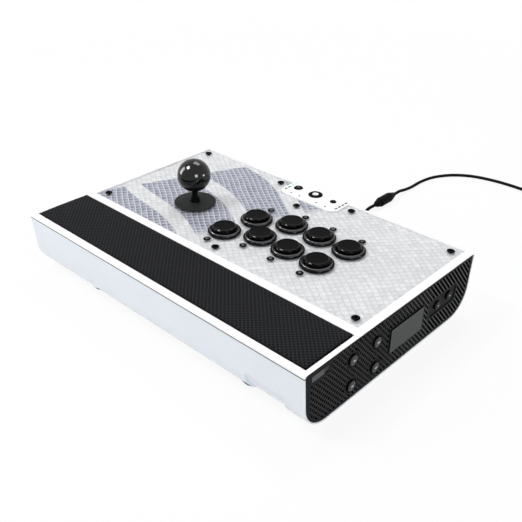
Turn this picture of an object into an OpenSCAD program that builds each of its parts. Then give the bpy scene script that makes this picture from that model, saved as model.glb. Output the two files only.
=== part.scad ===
// Arcade fight stick: a desktop case with a ball-top lever, eight round buttons and a wrist pad.
// The origin is on the table under the middle of the case. X runs right, Y runs back, Z runs up.

/* [Case] */
// Width of the case across its two end rims
case_w = 372; // [360:1:390]
// Depth of the case at its top edge
case_d = 249; // [246:1:262]
// Height of the case from its underside to the top of its cover
case_h = 62.2; // [60:0.2:72]
// Radius of the lower front and rear edges
bottom_r = 28; // [24:0.5:28]
// Lean of the front and rear faces from upright, in degrees
face_lean = 3.5; // [1:0.1:5]
// Wall of the lower shell
wall = 2.5; // [2.2:0.1:3]
// Thickness of the top cover
cover_t = 3; // [2.6:0.1:3.4]
// Radius along the front and rear edges of the cover
cover_edge_r = 2; // [1:0.1:2.2]
// Gap of the seam between the cover and the lower shell
seam_gap = 0.4; // [0.2:0.1:0.8]
// Height of the feet that shows below the case
foot_h = 2.8; // [2:0.1:4]
// Radius of a foot
foot_r = 10; // [8:0.5:11]

/* [Side panels] */
// Rim that shows around each side panel
rim_w = 1.3; // [1:0.1:1.8]
// Rim that shows above each side panel
rim_top = 0.8; // [0.6:0.1:1.2]
// Thickness of a side panel
panel_t = 2.6; // [2.4:0.1:3]
// Distance of a side panel's face inside the rim
panel_sink = 0.3; // [0.2:0.1:0.6]
// Spacing of the slanting grooves along the panel
groove_pitch = 5; // [4:0.5:8]
// Width of a slanting groove
groove_w = 1.6; // [1:0.1:2]
// Depth of a slanting groove
groove_depth = 0.6; // [0.3:0.1:0.8]
// Slant of the grooves from upright, in degrees
groove_slant = 41; // [30:1:50]

/* [Wrist pad] */
// Share of the case's depth that the wrist pad takes up
pad_share = 0.24257; // [0.225:0.00001:0.25]
// Cover left showing in front of the wrist pad
pad_front = 6.6; // [6:0.1:8]
// Cover left showing at each end of the wrist pad
pad_side = 4.3; // [4:0.1:8]
// Cover left showing between the wrist pad and the faceplate
pad_band = 9.7; // [9:0.1:12]
// Depth of the well that holds the wrist pad
pad_sink = 2.2; // [1.6:0.1:2.4]
// Height of the wrist pad's crown above the cover
pad_crown = 1.6; // [1:0.1:3]

/* [Faceplate] */
// Cover left showing at each end of the faceplate
plate_side = 8.4; // [8:0.1:12]
// Cover left showing behind the faceplate
back_strip = 4.2; // [3.8:0.1:6]
// Thickness of the clear acrylic cover
acrylic_t = 2; // [1.5:0.1:2.4]
// Thickness of the printed sheet under the acrylic
sheet_t = 0.3; // [0.2:0.1:0.5]
// Thickness of the steel plate that carries the controls
steel_t = 1.6; // [1.5:0.1:2]
// Height of the acrylic's face above the cover
face_proud = 0.3; // [0.1:0.1:0.5]
// Distance of the corner screws from the edges of the faceplate
screw_inset = 9.4; // [8:0.1:11]
// Radius of a faceplate screw's head
screw_head_r = 3.9; // [3.4:0.1:4.2]

/* [Buttons] */
// Place of the second column's lower button from the middle of the case
button_x = 18.4; // [16:0.2:22]
// Share of the faceplate's spare depth that is left in front of the button rows
row_share = 0.18; // [0:0.01:1]
// Spacing of the three right-hand columns
button_pitch = 36; // [35.8:0.1:37]
// Spacing of the two rows
row_pitch = 39; // [38:0.1:41]
// Shift of the upper row to the right
row_shift = 7; // [4:0.5:9]
// Distance of the first column to the left of the second
first_dx = 34.2; // [33:0.2:38]
// Drop of the first column below the second
first_drop = 15.3; // [12:0.2:18]
// Radius of a button's flange
flange_r = 16.7; // [16.5:0.1:17]
// Height of a button's flange
flange_h = 3; // [2.5:0.1:3.5]
// Radius of a button's plunger
plunger_r = 12.3; // [11:0.1:12.6]
// Height of a plunger's top above the faceplate
plunger_h = 6.4; // [5.5:0.1:7]
// Travel of a plunger
plunger_travel = 2.8; // [2:0.1:3]

/* [Lever] */
// Distance of the lever to the left of the second column's lower button
stick_reach = 101.4; // [96:0.2:106]
// Distance of the lever behind the lower row
stick_dy = 6.6; // [2:0.2:12]
// Radius of the ball top
ball_r = 17.5; // [16:0.1:18]
// Height of the ball's middle above the acrylic's face
ball_h = 31.7; // [30:0.1:36]
// Radius of the dust washer
washer_r = 22; // [21:0.1:24]
// Radius of the sleeve around the lever's shaft
sleeve_r = 4.6; // [4.3:0.1:4.8]
// Radius of the lever's steel shaft
shaft_r = 3; // [2.8:0.1:3.2]
// Depth of the pivot below the acrylic's face
pivot_drop = 17.3; // [17:0.1:18]
// Tilt of the lever to each side, in degrees
lever_tilt = 8.5; // [6:0.5:9]

/* [Function buttons] */
// Width of the tongue of the cover that holds the function buttons
tongue_w = 78; // [76:0.5:84]
// Depth of that tongue
tongue_d = 26.1; // [25:0.1:28]
// Cut at the tongue's front corners
tongue_cut = 6.3; // [4:0.1:8]
// Spacing of the function buttons
function_pitch = 24.5; // [22:0.1:26]

/* [Side controls] */
// Radius of a round side button
side_button_r = 5.4; // [4.6:0.1:5.6]
// Spacing of the round side buttons along the panel
side_button_dy = 33; // [28:0.5:36]
// Spacing of the round side buttons up the panel
side_button_dz = 27; // [26:0.5:28]
// Radius of a pocket button
pocket_button_r = 4.6; // [4:0.1:5]
// Length of the display window
display_w = 50.4; // [46:0.2:54]
// Height of the display window
display_h = 25.4; // [22:0.2:27]
// Length of the mode switch's window
mode_w = 21.8; // [20:0.2:24]
// Height of the mode switch's window
mode_h = 6.2; // [5:0.1:6.6]
// Travel of the mode switch
mode_travel = 6.4; // [4:0.1:6.6]

/* [Cord] */
// Radius of the cord
cord_r = 2; // [1.6:0.1:2.1]
// Length of the in-line barrel on the cord
barrel_len = 40; // [39:0.5:42]
// Radius of the in-line barrel
barrel_r = 6; // [5:0.1:6.4]

/* [Hidden] */

$fn = 64;
overrun = 1;
slip = 0.3;

// Heights of the case
top_z = foot_h + case_h;
seam_z = top_z - cover_t;
floor_z = foot_h + wall;
face_z = top_z + face_proud;
sheet_z = face_z - acrylic_t;
steel_z = sheet_z - sheet_t;
ledge_z = steel_z - steel_t;

// Outline of the case: where its lower arcs are centred
arc_z = foot_h + bottom_r;
arc_y = case_d / 2 - bottom_r * cos(face_lean)
    - (top_z - arc_z + bottom_r * sin(face_lean)) * tan(face_lean);
grip_depth = 2;
grip_in = [65, 22];
grip_reach = 54.5;
grip_x0 = case_w / 2 - grip_in[0];
grip_x1 = case_w / 2 - grip_in[1];
grip_y = -case_d / 2 + grip_reach;
foot_inset = [78, 27.5];
foot_seat = 1.5;
foot_pad_r = foot_r + 1.5;
foot_pad_top = 5;

// Cover
plate_gap = 0.2;
plate_w = case_w - 2 * plate_side;
pad_d = pad_share * case_d;
plate_y0 = -case_d / 2 + pad_front + pad_d + pad_band;
plate_y1 = case_d / 2 - back_strip;
pad_y0 = -case_d / 2 + pad_front;
tray_t = 2;
tray_wall = 2;
ledge_t = 2;
ledge_w = 13;
boss_r = 3.6;
boss_h = 5;
thread_r = 1.4;
post_r = 4.5;
post_z = 28;
post_inset = 36;
post_front = 36.5;
post_rear = 24.5;
post_x = case_w / 2 - post_inset;
post_pad = 3;
post_front_y = -case_d / 2 + post_front;
post_rear_y = case_d / 2 - post_rear;
counterbore_r = 3.8;
counterbore_z = 19;
case_screw_r = 1.3;
case_screw_head_r = 3.2;
case_screw_head_h = 2.2;
case_screw_len = 20;
shell_post_r = 5.5;

// Tongue and function buttons
tongue_x = -0.7;
tongue_y = plate_y1 - tongue_d;
shelf_lip = 3;
shelf_y = tongue_y - shelf_lip;
tab_half = 5;
function_x = -2.2;
function_y = plate_y1 - 5.9;
function_rs = [4.9, 7.7, 3.4];
function_proud = 1.1;
function_head = 3;
function_stem_r = 3.2;
function_flange_r = 4.2;
function_flange_t = 0.8;
function_gap = 0.25;
function_travel = 0.7;
board_t = 1.6;
dome_r = 2;
dome_h = 0.3;
light_w = 0.9;
light_l = 3.4;
light_pitch = 5.7;
light_inset = 3.8;
light_start = 8.2;
light_count = 4;
light_deep = 1.6;
light_gap = 0.1;

// Faceplate screws and icon discs
screw_head_h = 0.6;
screw_r = 1.3;
screw_len = 7;
screw_hole_r = 1.7;
back_screw_gap = 10.6;
back_screw_x = tongue_w / 2 + back_screw_gap;
tab_screw_gap = 13.9;
disc_r = 3.7;
disc_h = 0.5;
disc_off = 22.9;
disc_dx = -1;
first_disc_shift = [-2.3, 2.8];

// Buttons
barrel_hole_r = 15;
button_barrel_r = 14.7;
button_depth = 20;
button_floor = 2;
button_edge = 1.2;
shoulder_r = 14.4;
shoulder_drop = 1.1;
bore_gap = 0.3;
skirt_depth = 8;
skirt_wall = 1.3;
cap_t = 1.9;
cap_round = 1.1;
stem_r = 1.6;
stem_hole_r = 2.1;
nut_r = 17.5;
nut_t = 5;
nut_gap = 0.1;
switch_l = 20;
switch_w = 6.4;
switch_h = 10;
terminal_l = 4;
terminal_t = 0.6;

// Lever mechanism
washer_t = 1.6;
washer_lift = 0.3;
washer_gap = 0.6;
lever_hole_r = 12.5;
bracket_l = 95;
bracket_w = 53;
bracket_t = 1.6;
stud_x = 41;
stud_y = 20;
stud_r = 1.9;
stud_gap = 0.3;
stick_nut_r = 3.6;
stick_nut_t = 2.6;
housing_w = 64;
housing_drop = 32;
housing_edge = 4;
well_r = 19.4;
well_h = 1.6;
lower_washer_r = 16;
lower_washer_t = 1;
lower_hole_r = 7.3;
throat_r = 12;
throat_drop = 6;
socket_r = 10.3;
bush_r = 10;
bush_bore_r = 7.3;
bush_half = 4.2;
pivot_r = 7;
chamber_r = 14.5;
chamber_top = 6.2;
switch_bay = 51;
switch_bay_h = 8;
shaft_gap = 0.05;
sleeve_top_drop = 8;
sleeve_low = 17;
shaft_low = 24.6;
shaft_grip = 12;
clip_r = 4.8;
clip_t = 0.8;
actuator_gap = 0.05;
actuator_flange_r = 11;
actuator_flange_t = 1.2;
actuator_drop = 14;
actuator_low = 22.2;
actuator_r = 7.6;
spring_wire_r = 0.5;
spring_r0 = 9.2;
spring_r1 = 6.6;
spring_turns = 4;
spring_h = 4;
lever_switch_in = 13.6;
lever_switch_blade = 11.4;
blade_w = 4;
blade_t = 0.5;
gate_t = 3;
gate_w = 62;
groove_share = 0.8;
gate_open = 2 * (actuator_r * cos(lever_tilt) + actuator_low * sin(lever_tilt) + slip);
ball_flat = sqrt(ball_r * ball_r - 4 * shaft_r * shaft_r);

// Side controls on the right panel
panel_x = case_w / 2 - panel_sink;
panel_in_x = panel_x - panel_t;
panel_fit = 0.15;
panel_corner = 2.5;
rib_margin = 3;
plain_front = 9;
flange_t = 2;
flange_w = 5;
side_board_gap = 5;
side_grid_shares = [-0.1863, 0.463];
side_grid_y = side_grid_shares[0] * case_d;
side_grid_z = foot_h + side_grid_shares[1] * case_h;
dish_r = 7.2;
dish_depth = 0.6;
side_button_gap = 0.25;
side_button_low = 0.2;
side_travel = 0.7;
key_flange = 0.9;
key_stem_r = 2;
pocket_place_shares = [0.2032, 0.36];
pocket_y = pocket_place_shares[0] * case_d;
pocket_z = foot_h + pocket_place_shares[1] * case_h;
pocket_w = 46.7;
pocket_h = 17.6;
pocket_depth = 0.8;
pocket_shares = [[0.08, 0], [0.92, 0], [1, 0.28], [1, 1], [0.25, 0.88], [0, 0.5]];
pocket_button_shares = [[0.31, 0.52], [0.73, 0.61]];
display_shares = [0.061, 0.492];
display_y = display_shares[0] * case_d;
display_z = foot_h + display_shares[1] * case_h;
lens_t = 1;
lens_low = 0.5;
lens_gap = 0.15;
bezel = 2;
mode_inset = 20.5;
mode_drop = 9.4;
mode_y = -case_d / 2 + mode_inset;
mode_z = top_z - mode_drop;
mode_sink = 1;
mode_gap = 0.3;
mode_slot_h = 2.4;
mode_stem_w = 4;
mode_cap_t = 0.8;
side_post_r = 2;
side_post_inset = 4;

// Boards in the case
main_shares = [0.2473, 0.1526];
main_x = main_shares[0] * case_w;
main_y = main_shares[1] * case_d;
main_w = 90;
main_d = 56;
standoff_h = 6;
standoff_r = 2.6;
chip_w = 12;
chip_t = 1.6;
socket_w = 16;
socket_h = 7;

// Cord, with a route of points chosen by hand
cord_x = -5;
gland_z = 26;
gland_r = 6;
gland_hole_r = 4;
gland_flange_t = 2;
gland_barb_r = 5.4;
gland_barb_in = 2.2;
gland_tip_r = 3;
gland_seat = 1.6;
cord_sides = 8;
collar_share = 1.4;
relief_share = 1.2;
cord_points_a = [
    [-5, 140, 26], [-5, 146, 26], [-5, 152, 26], [-5, 164, 22], [-5, 176, 14],
    [-5, 190, 6], [-5, 203, 3], [-5, 214, 4], [-5, 224, 6.2], [-5, 231, 6.2],
    [-5, 237, 6.2]
];
cord_points_b = [
    [-5, 277, 6.2], [-5, 283, 6.2], [-5, 290, 6.2], [-5, 302, 4], [-5, 318, 2.4],
    [-5, 340, 2.4],
    [0, 364, 2.4], [14, 386, 2.4], [34, 401, 2.4], [58, 408, 2.6], [82, 410, 3],
    [108, 410, 3], [116, 410, 3], [125, 410, 3]
];
cord_tail = [
    [130, 475.6, 18], [116, 477, 15], [102, 484, 9], [96, 496, 5], [102, 508, 4.2],
    [114, 512, 4.2], [126, 512, 4.2], [132, 512, 4.2], [138, 512, 4.2]
];
cord_steps = 3;
coil_x = 135;
coil_y = 442.75;
coil_z = 3;
coil_r = 32.75;
coil_pitch = 5;
coil_layers = 4;
coil_sweep = 3.5;
coil_climb = 0.5;
coil_rings = 24;
coil_sides = 6;
tie_t = 0.7;
tie_w = 6;
tie_gap = 0.15;
tie_turn = 45;
plug_w = 15;
plug_h = 8;
plug_len = 28;
plug_tip_w = 12;
plug_tip_h = 4.5;
plug_tip_len = 14;
plug_taper = 9;
plug_taper_r = 3;

// Half the depth of the case's outline at height z, drawn in by inset
function side_y(inset, z) = arc_y + (bottom_r - inset) * cos(face_lean)
    + (z - arc_z + (bottom_r - inset) * sin(face_lean)) * tan(face_lean);

// Places of the button rows, between the ledge in front and the shelf behind
row_low = plate_y0 + ledge_w + slip + nut_r + first_drop;
row_high = shelf_y - slip - nut_r - row_pitch;
lower_row_y = row_low + row_share * (row_high - row_low);

// Places of the eight buttons: the upper row from the left, then the lower row
function button_at(i) = let(col = i % 4, up = i < 4 ? 1 : 0) [
    button_x + up * row_shift + (col == 0 ? -first_dx : (col - 1) * button_pitch),
    lower_row_y + up * row_pitch - (col == 0 ? first_drop : 0)
];
stick_x = button_x - stick_reach;
stick_y = lower_row_y + stick_dy;
pivot_z = face_z - pivot_drop;
housing_z = ledge_z - bracket_t;

// Places of the faceplate screws
screw_places = [
    for (x = [-plate_w / 2 + screw_inset, plate_w / 2 - screw_inset])
        for (y = [plate_y0 + screw_inset, plate_y1 - screw_inset]) [x, y],
    [0, plate_y0 + screw_inset],
    [-back_screw_x, plate_y1 - screw_inset],
    [back_screw_x, plate_y1 - screw_inset],
    [0, tongue_y - tab_screw_gap]
];
post_places = concat(
    [for (s = [-1:1]) [s * post_x, post_front_y]],
    [for (s = [-1, 1]) [s * post_x, post_rear_y]]
);
foot_places = [
    for (sx = [-1, 1]) for (sy = [-1, 1])
        [sx * (case_w / 2 - foot_inset[0]), sy * (case_d / 2 - foot_inset[1])]
];

// Places of the side buttons, as along and up the right panel
side_places = [
    for (sz = [1, -1]) for (sy = [-1, 1])
        [side_grid_y + sy * side_button_dy / 2, side_grid_z + sz * side_button_dz / 2]
];
pocket_places = [
    for (p = pocket_button_shares) [pocket_y + p[0] * pocket_w, pocket_z + p[1] * pocket_h]
];
side_post_ys = [
    side_grid_y - side_button_dy / 2 - dish_r - side_post_r,
    min(pocket_y + pocket_w, arc_y + side_post_inset)
];
side_post_places = [
    for (y = side_post_ys)
        for (z = [floor_z + flange_w + side_post_inset, seam_z - flange_w - side_post_inset])
            [y, z]
];
side_board_y0 = side_post_ys[0] - side_post_inset;
side_board_y1 = side_post_ys[1] + side_post_inset;

// A block between two places on each axis
module span(x, y, z) {
    translate([x[0], y[0], z[0]])
        cube([x[1] - x[0], y[1] - y[0], z[1] - z[0]]);
}

// Extrudes an outline of Y and Z along X, from x on
module along_x(x, len) {
    translate([x, 0, 0])
        rotate([90, 0, 90])
            linear_extrude(len)
                children();
}

// A peg along X from x, at a place on the panel
module peg_x(x, p, len, r) {
    translate([x, p[0], p[1]])
        rotate([0, 90, 0])
            cylinder(h = len, r = r);
}

// The case's outline in Y and Z, drawn in by inset, with its top at a height
module case_outline(inset, top, corner) {
    r = bottom_r - inset;
    zc = top - corner;
    yc = side_y(inset, zc) - corner / cos(face_lean);
    foot_pt = [arc_y, arc_z - r];
    side_pt = [arc_y + r * cos(face_lean), arc_z - r * sin(face_lean)];
    top_pts = corner > 0
        ? [[yc + corner * cos(face_lean), zc - corner * sin(face_lean)], [yc, top]]
        : [[side_y(inset, top), top]];
    half = concat([foot_pt, side_pt], top_pts);
    mirrored = [for (k = [len(half) - 1:-1:0]) [-half[k][0], half[k][1]]];
    union() {
        polygon(concat(half, mirrored));
        for (s = [-1, 1]) {
            // The lower arc stays below its middle, however low the case is
            intersection() {
                translate([s * arc_y, arc_z])
                    circle(r);
                translate([-case_d, 0])
                    square([2 * case_d, arc_z]);
            }
            if (corner > 0)
                translate([s * yc, zc])
                    circle(corner);
        }
    }
}

// The pockets that take the side panels
module end_pockets() {
    depth = panel_t + panel_sink;
    for (s = [0, 1])
        along_x(s == 0 ? -case_w / 2 - overrun : case_w / 2 - depth, depth + overrun)
            case_outline(rim_w, top_z - rim_top, panel_corner);
}

// The outline of the faceplate, less its notch for the tongue
module faceplate_outline(gap) {
    w = tongue_w / 2 + plate_gap - gap;
    cut = tongue_cut;
    front = tongue_y - plate_gap + gap;
    difference() {
        translate([-plate_w / 2 + plate_gap - gap, plate_y0 + plate_gap - gap])
            square([plate_w - 2 * plate_gap + 2 * gap, plate_y1 - plate_y0 - 2 * plate_gap + 2 * gap]);
        polygon([
            [tongue_x - w + cut, front], [tongue_x + w - cut, front],
            [tongue_x + w, front + cut], [tongue_x + w, plate_y1 + overrun],
            [tongue_x - w, plate_y1 + overrun], [tongue_x - w, front + cut]
        ]);
    }
}

// A sheet of the faceplate with its holes
module faceplate_sheet(z, t) {
    difference() {
        translate([0, 0, z])
            linear_extrude(t)
                faceplate_outline(0);
        for (i = [0:7])
            translate([button_at(i)[0], button_at(i)[1], z - overrun])
                cylinder(h = t + 2 * overrun, r = barrel_hole_r);
        translate([stick_x, stick_y, z - overrun])
            cylinder(h = t + 2 * overrun, r = lever_hole_r);
        for (p = screw_places)
            translate([p[0], p[1], z - overrun])
                cylinder(h = t + 2 * overrun, r = screw_hole_r);
    }
}

module top_cover() {
    tray_x = case_w / 2 - panel_t - panel_sink - flange_t - slip;
    color("white")
    difference() {
        union() {
            intersection() {
                along_x(-case_w / 2, case_w)
                    case_outline(0, top_z, cover_edge_r);
                span([-case_w, case_w], [-case_d, case_d], [seam_z, top_z + overrun]);
            }
            // Tray under the wrist pad
            span(
                [-tray_x, tray_x],
                [pad_y0 - tray_wall, pad_y0 + pad_d + tray_wall],
                [top_z - pad_sink - tray_t, seam_z + overrun / 2]
            );
            // Ledge under the faceplate
            span(
                [-plate_w / 2 - plate_gap, plate_w / 2 + plate_gap],
                [plate_y0 - plate_gap, side_y(wall, ledge_z - ledge_t) - slip],
                [ledge_z - ledge_t, seam_z + overrun / 2]
            );
            for (p = screw_places)
                translate([p[0], p[1], ledge_z - ledge_t - boss_h])
                    cylinder(h = boss_h + overrun, r = boss_r);
            for (p = post_places)
                translate([p[0], p[1], post_z])
                    cylinder(h = ledge_z - post_z, r = post_r);
        }
        // Well of the wrist pad
        span(
            [-case_w / 2 + pad_side, case_w / 2 - pad_side],
            [pad_y0, pad_y0 + pad_d],
            [top_z - pad_sink, top_z + overrun]
        );
        // Seat of the faceplate, around the tongue
        translate([0, 0, ledge_z])
            linear_extrude(top_z - ledge_z + overrun)
                faceplate_outline(plate_gap);
        // Opening inside the ledge, in front of the tongue's shelf
        difference() {
            span(
                [-plate_w / 2 + ledge_w, plate_w / 2 - ledge_w],
                [plate_y0 + ledge_w, plate_y1 - ledge_w],
                [ledge_z - ledge_t - overrun, top_z]
            );
            span(
                [tongue_x - tongue_w / 2 - tray_wall, tongue_x + tongue_w / 2 + tray_wall],
                [shelf_y, plate_y1],
                [ledge_z - ledge_t - overrun, top_z + overrun]
            );
            // Tab that reaches to the screw in front of the tongue
            span(
                [-tab_half, tab_half],
                [tongue_y - tab_screw_gap - tab_half, plate_y1],
                [ledge_z - ledge_t - overrun, top_z + overrun]
            );
            for (s = [-1, 1])
                span(
                    [s * post_x - post_r - post_pad, s * post_x + post_r + post_pad],
                    [post_rear_y - post_r - post_pad, plate_y1],
                    [ledge_z - ledge_t - overrun, top_z + overrun]
                );
        }
        // Relief for the necks of the end panels
        end_pockets();
        for (p = screw_places)
            translate([p[0], p[1], ledge_z - ledge_t - boss_h + screw_r])
                cylinder(h = boss_h + ledge_t, r = thread_r);
        for (p = post_places)
            translate([p[0], p[1], post_z - overrun])
                cylinder(h = case_screw_len, r = thread_r);
        for (k = [0:2])
            translate([function_x + (k - 1) * function_pitch, function_y, 0]) {
                translate([0, 0, top_z - function_head])
                    cylinder(h = function_head + overrun, r = function_rs[k] + function_gap);
                translate([0, 0, ledge_z - ledge_t - overrun])
                    cylinder(h = top_z - ledge_z, r = function_stem_r + function_gap);
            }
        light_slots(light_gap, overrun);
    }
}

// The status lights along both sides of the tongue, or the slots that take them
module light_slots(gap, over) {
    for (s = [-1, 1])
        for (k = [0:light_count - 1])
            translate([
                tongue_x + s * (tongue_w / 2 - light_inset) - light_w / 2 - gap,
                tongue_y + light_start + k * light_pitch - gap,
                top_z - light_deep
            ])
                cube([light_w + 2 * gap, light_l + 2 * gap, light_deep + over]);
}

module status_lights() {
    color("black")
        light_slots(0, 0);
}

module lower_shell() {
    end_in = panel_t + panel_sink + flange_t;
    color([0.88, 0.9, 0.93])
    difference() {
        union() {
            difference() {
                along_x(-case_w / 2, case_w)
                    case_outline(0, seam_z - seam_gap, 0);
                along_x(-case_w / 2 + end_in, case_w - 2 * end_in)
                    case_outline(wall, top_z, 0);
                // Shallow relief in the rounded front edge
                difference() {
                    along_x(grip_x0, grip_x1 - grip_x0)
                        case_outline(-overrun, seam_z, 0);
                    along_x(grip_x0 - overrun, grip_x1 - grip_x0 + 2 * overrun)
                        case_outline(grip_depth, top_z, 0);
                    span([0, case_w], [grip_y, case_d], [0, top_z]);
                    span([0, case_w], [-case_d, case_d], [arc_z, top_z]);
                }
            }
            // Thicker skin behind the relief
            intersection() {
                difference() {
                    along_x(grip_x0 - wall, grip_x1 - grip_x0 + 2 * wall)
                        case_outline(grip_depth, arc_z + wall, 0);
                    along_x(grip_x0 - 2 * wall, grip_x1 - grip_x0 + 4 * wall)
                        case_outline(grip_depth + wall, top_z, 0);
                }
                span([0, case_w], [-case_d, grip_y + wall], [0, arc_z + wall]);
            }
            for (p = foot_places)
                translate([p[0], p[1], foot_h])
                    cylinder(h = foot_pad_top, r = foot_pad_r);
            // Screw posts, kept inside the rounded edges
            intersection() {
                along_x(-case_w / 2, case_w)
                    case_outline(wall / 2, seam_z, 0);
                for (p = post_places)
                    translate([p[0], p[1], 0])
                        cylinder(h = post_z, r = shell_post_r);
            }
            for (sx = [-1, 1])
                for (sy = [-1, 1])
                    translate([
                        main_x + sx * (main_w / 2 - standoff_r),
                        main_y + sy * (main_d / 2 - standoff_r),
                        foot_h + wall / 2
                    ])
                        cylinder(h = standoff_h + wall / 2, r = standoff_r);
        }
        end_pockets();
        // Window inside the flange that each side panel rests on
        for (x = [-case_w / 2 - overrun, case_w / 2 - end_in - overrun])
            along_x(x, end_in + 2 * overrun)
                case_outline(rim_w + flange_w, top_z, 0);
        for (p = foot_places)
            translate([p[0], p[1], foot_h - overrun])
                cylinder(h = foot_seat + overrun, r = foot_r + panel_fit);
        for (p = post_places) {
            translate([p[0], p[1], 0])
                cylinder(h = counterbore_z, r = counterbore_r);
            translate([p[0], p[1], 0])
                cylinder(h = post_z + overrun, r = thread_r + slip);
        }
        // Flat seat and hole of the cord gland
        translate([cord_x, gland_seat_y(), gland_z])
            rotate([-90, 0, 0])
                cylinder(h = case_d, r = gland_r + panel_fit);
        translate([cord_x, 0, gland_z])
            rotate([-90, 0, 0])
                cylinder(h = case_d, r = gland_hole_r + panel_fit);
    }
}

// The rear wall's flat seat for the gland
function gland_seat_y() = side_y(0, gland_z) - gland_seat;

// Slanting grooves in a side panel's face, clear of the controls
module groove_field() {
    reach = case_h / cos(groove_slant);
    span_y = case_d / 2 + case_h * tan(groove_slant);
    intersection() {
        case_outline(rim_w + rib_margin, top_z - rim_top - rib_margin, 0);
        union() {
            for (k = [0:floor(2 * span_y / groove_pitch)])
                translate([-span_y + k * groove_pitch, top_z])
                    rotate(groove_slant)
                        translate([-groove_w / 2, -reach * 2])
                            square([groove_w, reach * 3]);
        }
    }
}

// Plain ground that the controls of the right panel stand on
module control_grounds() {
    for (p = side_places)
        translate(p)
            circle(dish_r + groove_w);
    translate([display_y - display_w / 2 - bezel, display_z - display_h / 2 - bezel])
        square([display_w + 2 * bezel, display_h + 2 * bezel]);
    translate([pocket_y - bezel, pocket_z - bezel])
        square([pocket_w + 2 * bezel, pocket_h + 2 * bezel]);
    translate([-case_d, mode_z - mode_h / 2 - bezel])
        square([case_d + mode_y + mode_w / 2 + bezel, case_h]);
}

// Blank of a side panel with its grooves, with its inner face at x and its outer face away from it
module panel_blank(x, groove_x, plain) {
    difference() {
        along_x(x, panel_t)
            case_outline(rim_w + panel_fit, top_z - rim_top - panel_fit, panel_corner);
        along_x(groove_x, groove_depth + overrun)
            difference() {
                groove_field();
                if (plain)
                    control_grounds();
                translate([-case_d, 0])
                    square([case_d / 2 + plain_front, case_d]);
            }
    }
}

module left_side_panel() {
    color([0.17, 0.17, 0.18])
        panel_blank(-panel_x, -panel_x - overrun, false);
}

module right_side_panel() {
    color([0.17, 0.17, 0.18])
    difference() {
        union() {
            panel_blank(panel_in_x, panel_x - groove_depth, true);
            for (p = side_post_places)
                peg_x(panel_in_x - side_board_gap, p, side_board_gap + panel_t / 2, side_post_r);
        }
        for (p = side_places) {
            peg_x(panel_x - dish_depth, p, dish_depth + overrun, dish_r);
            peg_x(panel_in_x - overrun, p, panel_t + 2 * overrun, side_button_r + side_button_gap);
        }
        along_x(panel_x - pocket_depth, pocket_depth + overrun)
            pocket_outline();
        for (p = pocket_places)
            peg_x(panel_in_x - overrun, p, panel_t + 2 * overrun, pocket_button_r + side_button_gap);
        // Display window, with a step that the lens rests on
        along_x(panel_x - lens_low - lens_t, panel_t)
            translate([display_y - display_w / 2, display_z - display_h / 2])
                square([display_w, display_h]);
        along_x(panel_in_x - overrun, panel_t)
            translate([display_y - display_w / 2 + bezel, display_z - display_h / 2 + bezel])
                square([display_w - 2 * bezel, display_h - 2 * bezel]);
        // Window and slot of the mode switch
        along_x(panel_x - mode_sink, mode_sink + overrun)
            translate([mode_y - mode_w / 2, mode_z - mode_h / 2])
                square([mode_w, mode_h]);
        along_x(panel_in_x - overrun, panel_t + overrun)
            translate([mode_slot_y0, mode_z - mode_slot_h / 2])
                square([mode_stem_w + mode_travel + 2 * mode_gap, mode_slot_h]);
    }
}

// The recess that holds the two pocket buttons
module pocket_outline() {
    polygon([for (p = pocket_shares) [pocket_y + p[0] * pocket_w, pocket_z + p[1] * pocket_h]]);
}

// The mode switch's cap starts at the front of its window
mode_cap_l = mode_w - mode_travel - 2 * mode_gap;
mode_cap_y0 = mode_y - mode_w / 2 + mode_gap;
mode_slot_y0 = mode_cap_y0 + mode_cap_l / 2 - mode_stem_w / 2 - mode_gap;

module mode_slider() {
    color([0.55, 0.56, 0.58])
    union() {
        along_x(panel_x - mode_sink + slip / 2, mode_cap_t)
            translate([mode_cap_y0, mode_z - mode_h / 2 + mode_gap])
                square([mode_cap_l, mode_h - 2 * mode_gap]);
        along_x(panel_in_x - side_board_gap + slip, side_board_gap + panel_t - mode_sink + slip)
            translate([mode_slot_y0 + mode_gap, mode_z - mode_slot_h / 2 + mode_gap])
                square([mode_stem_w, mode_slot_h - 2 * mode_gap]);
    }
}

// A key that pokes out through the right panel, with a flange behind it
module panel_key(p, r, sink) {
    union() {
        peg_x(panel_in_x - slip, p, panel_t - sink + slip, r);
        peg_x(panel_in_x - slip - key_flange, p, key_flange, r + key_flange);
        peg_x(
            panel_in_x - side_board_gap + dome_h + side_travel + slip,
            p,
            side_board_gap - dome_h - side_travel - 2 * slip,
            key_stem_r
        );
    }
}

module side_button(i) {
    color([0.62, 0.63, 0.65])
        panel_key(side_places[i], side_button_r, side_button_low);
}

module pocket_button(i) {
    color([0.2, 0.2, 0.21])
        panel_key(pocket_places[i], pocket_button_r, side_button_low);
}

module display_window() {
    color([0.34, 0.35, 0.35])
        along_x(panel_x - lens_low - lens_t, lens_t)
            translate([
                display_y - display_w / 2 + lens_gap,
                display_z - display_h / 2 + lens_gap
            ])
                square([display_w - 2 * lens_gap, display_h - 2 * lens_gap]);
}

module display_module() {
    color([0.1, 0.1, 0.12])
        along_x(panel_in_x - side_board_gap, side_board_gap - slip)
            translate([display_y - display_w / 2, display_z - display_h / 2])
                square([display_w, display_h]);
}

module side_board() {
    x = panel_in_x - side_board_gap;
    z0 = floor_z + flange_w + slip;
    z1 = seam_z - flange_w;
    color([0.05, 0.3, 0.15])
    union() {
        span([x - board_t, x], [side_board_y0, side_board_y1], [z0, z1]);
        // Tab behind the mode switch
        span(
            [x - board_t, x],
            [mode_y - mode_w / 2, side_board_y0 + overrun],
            [z1 - 4 * mode_h, mode_z + mode_h / 2]
        );
        for (p = concat(side_places, pocket_places))
            peg_x(x, p, dome_h, dome_r);
    }
}

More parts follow.
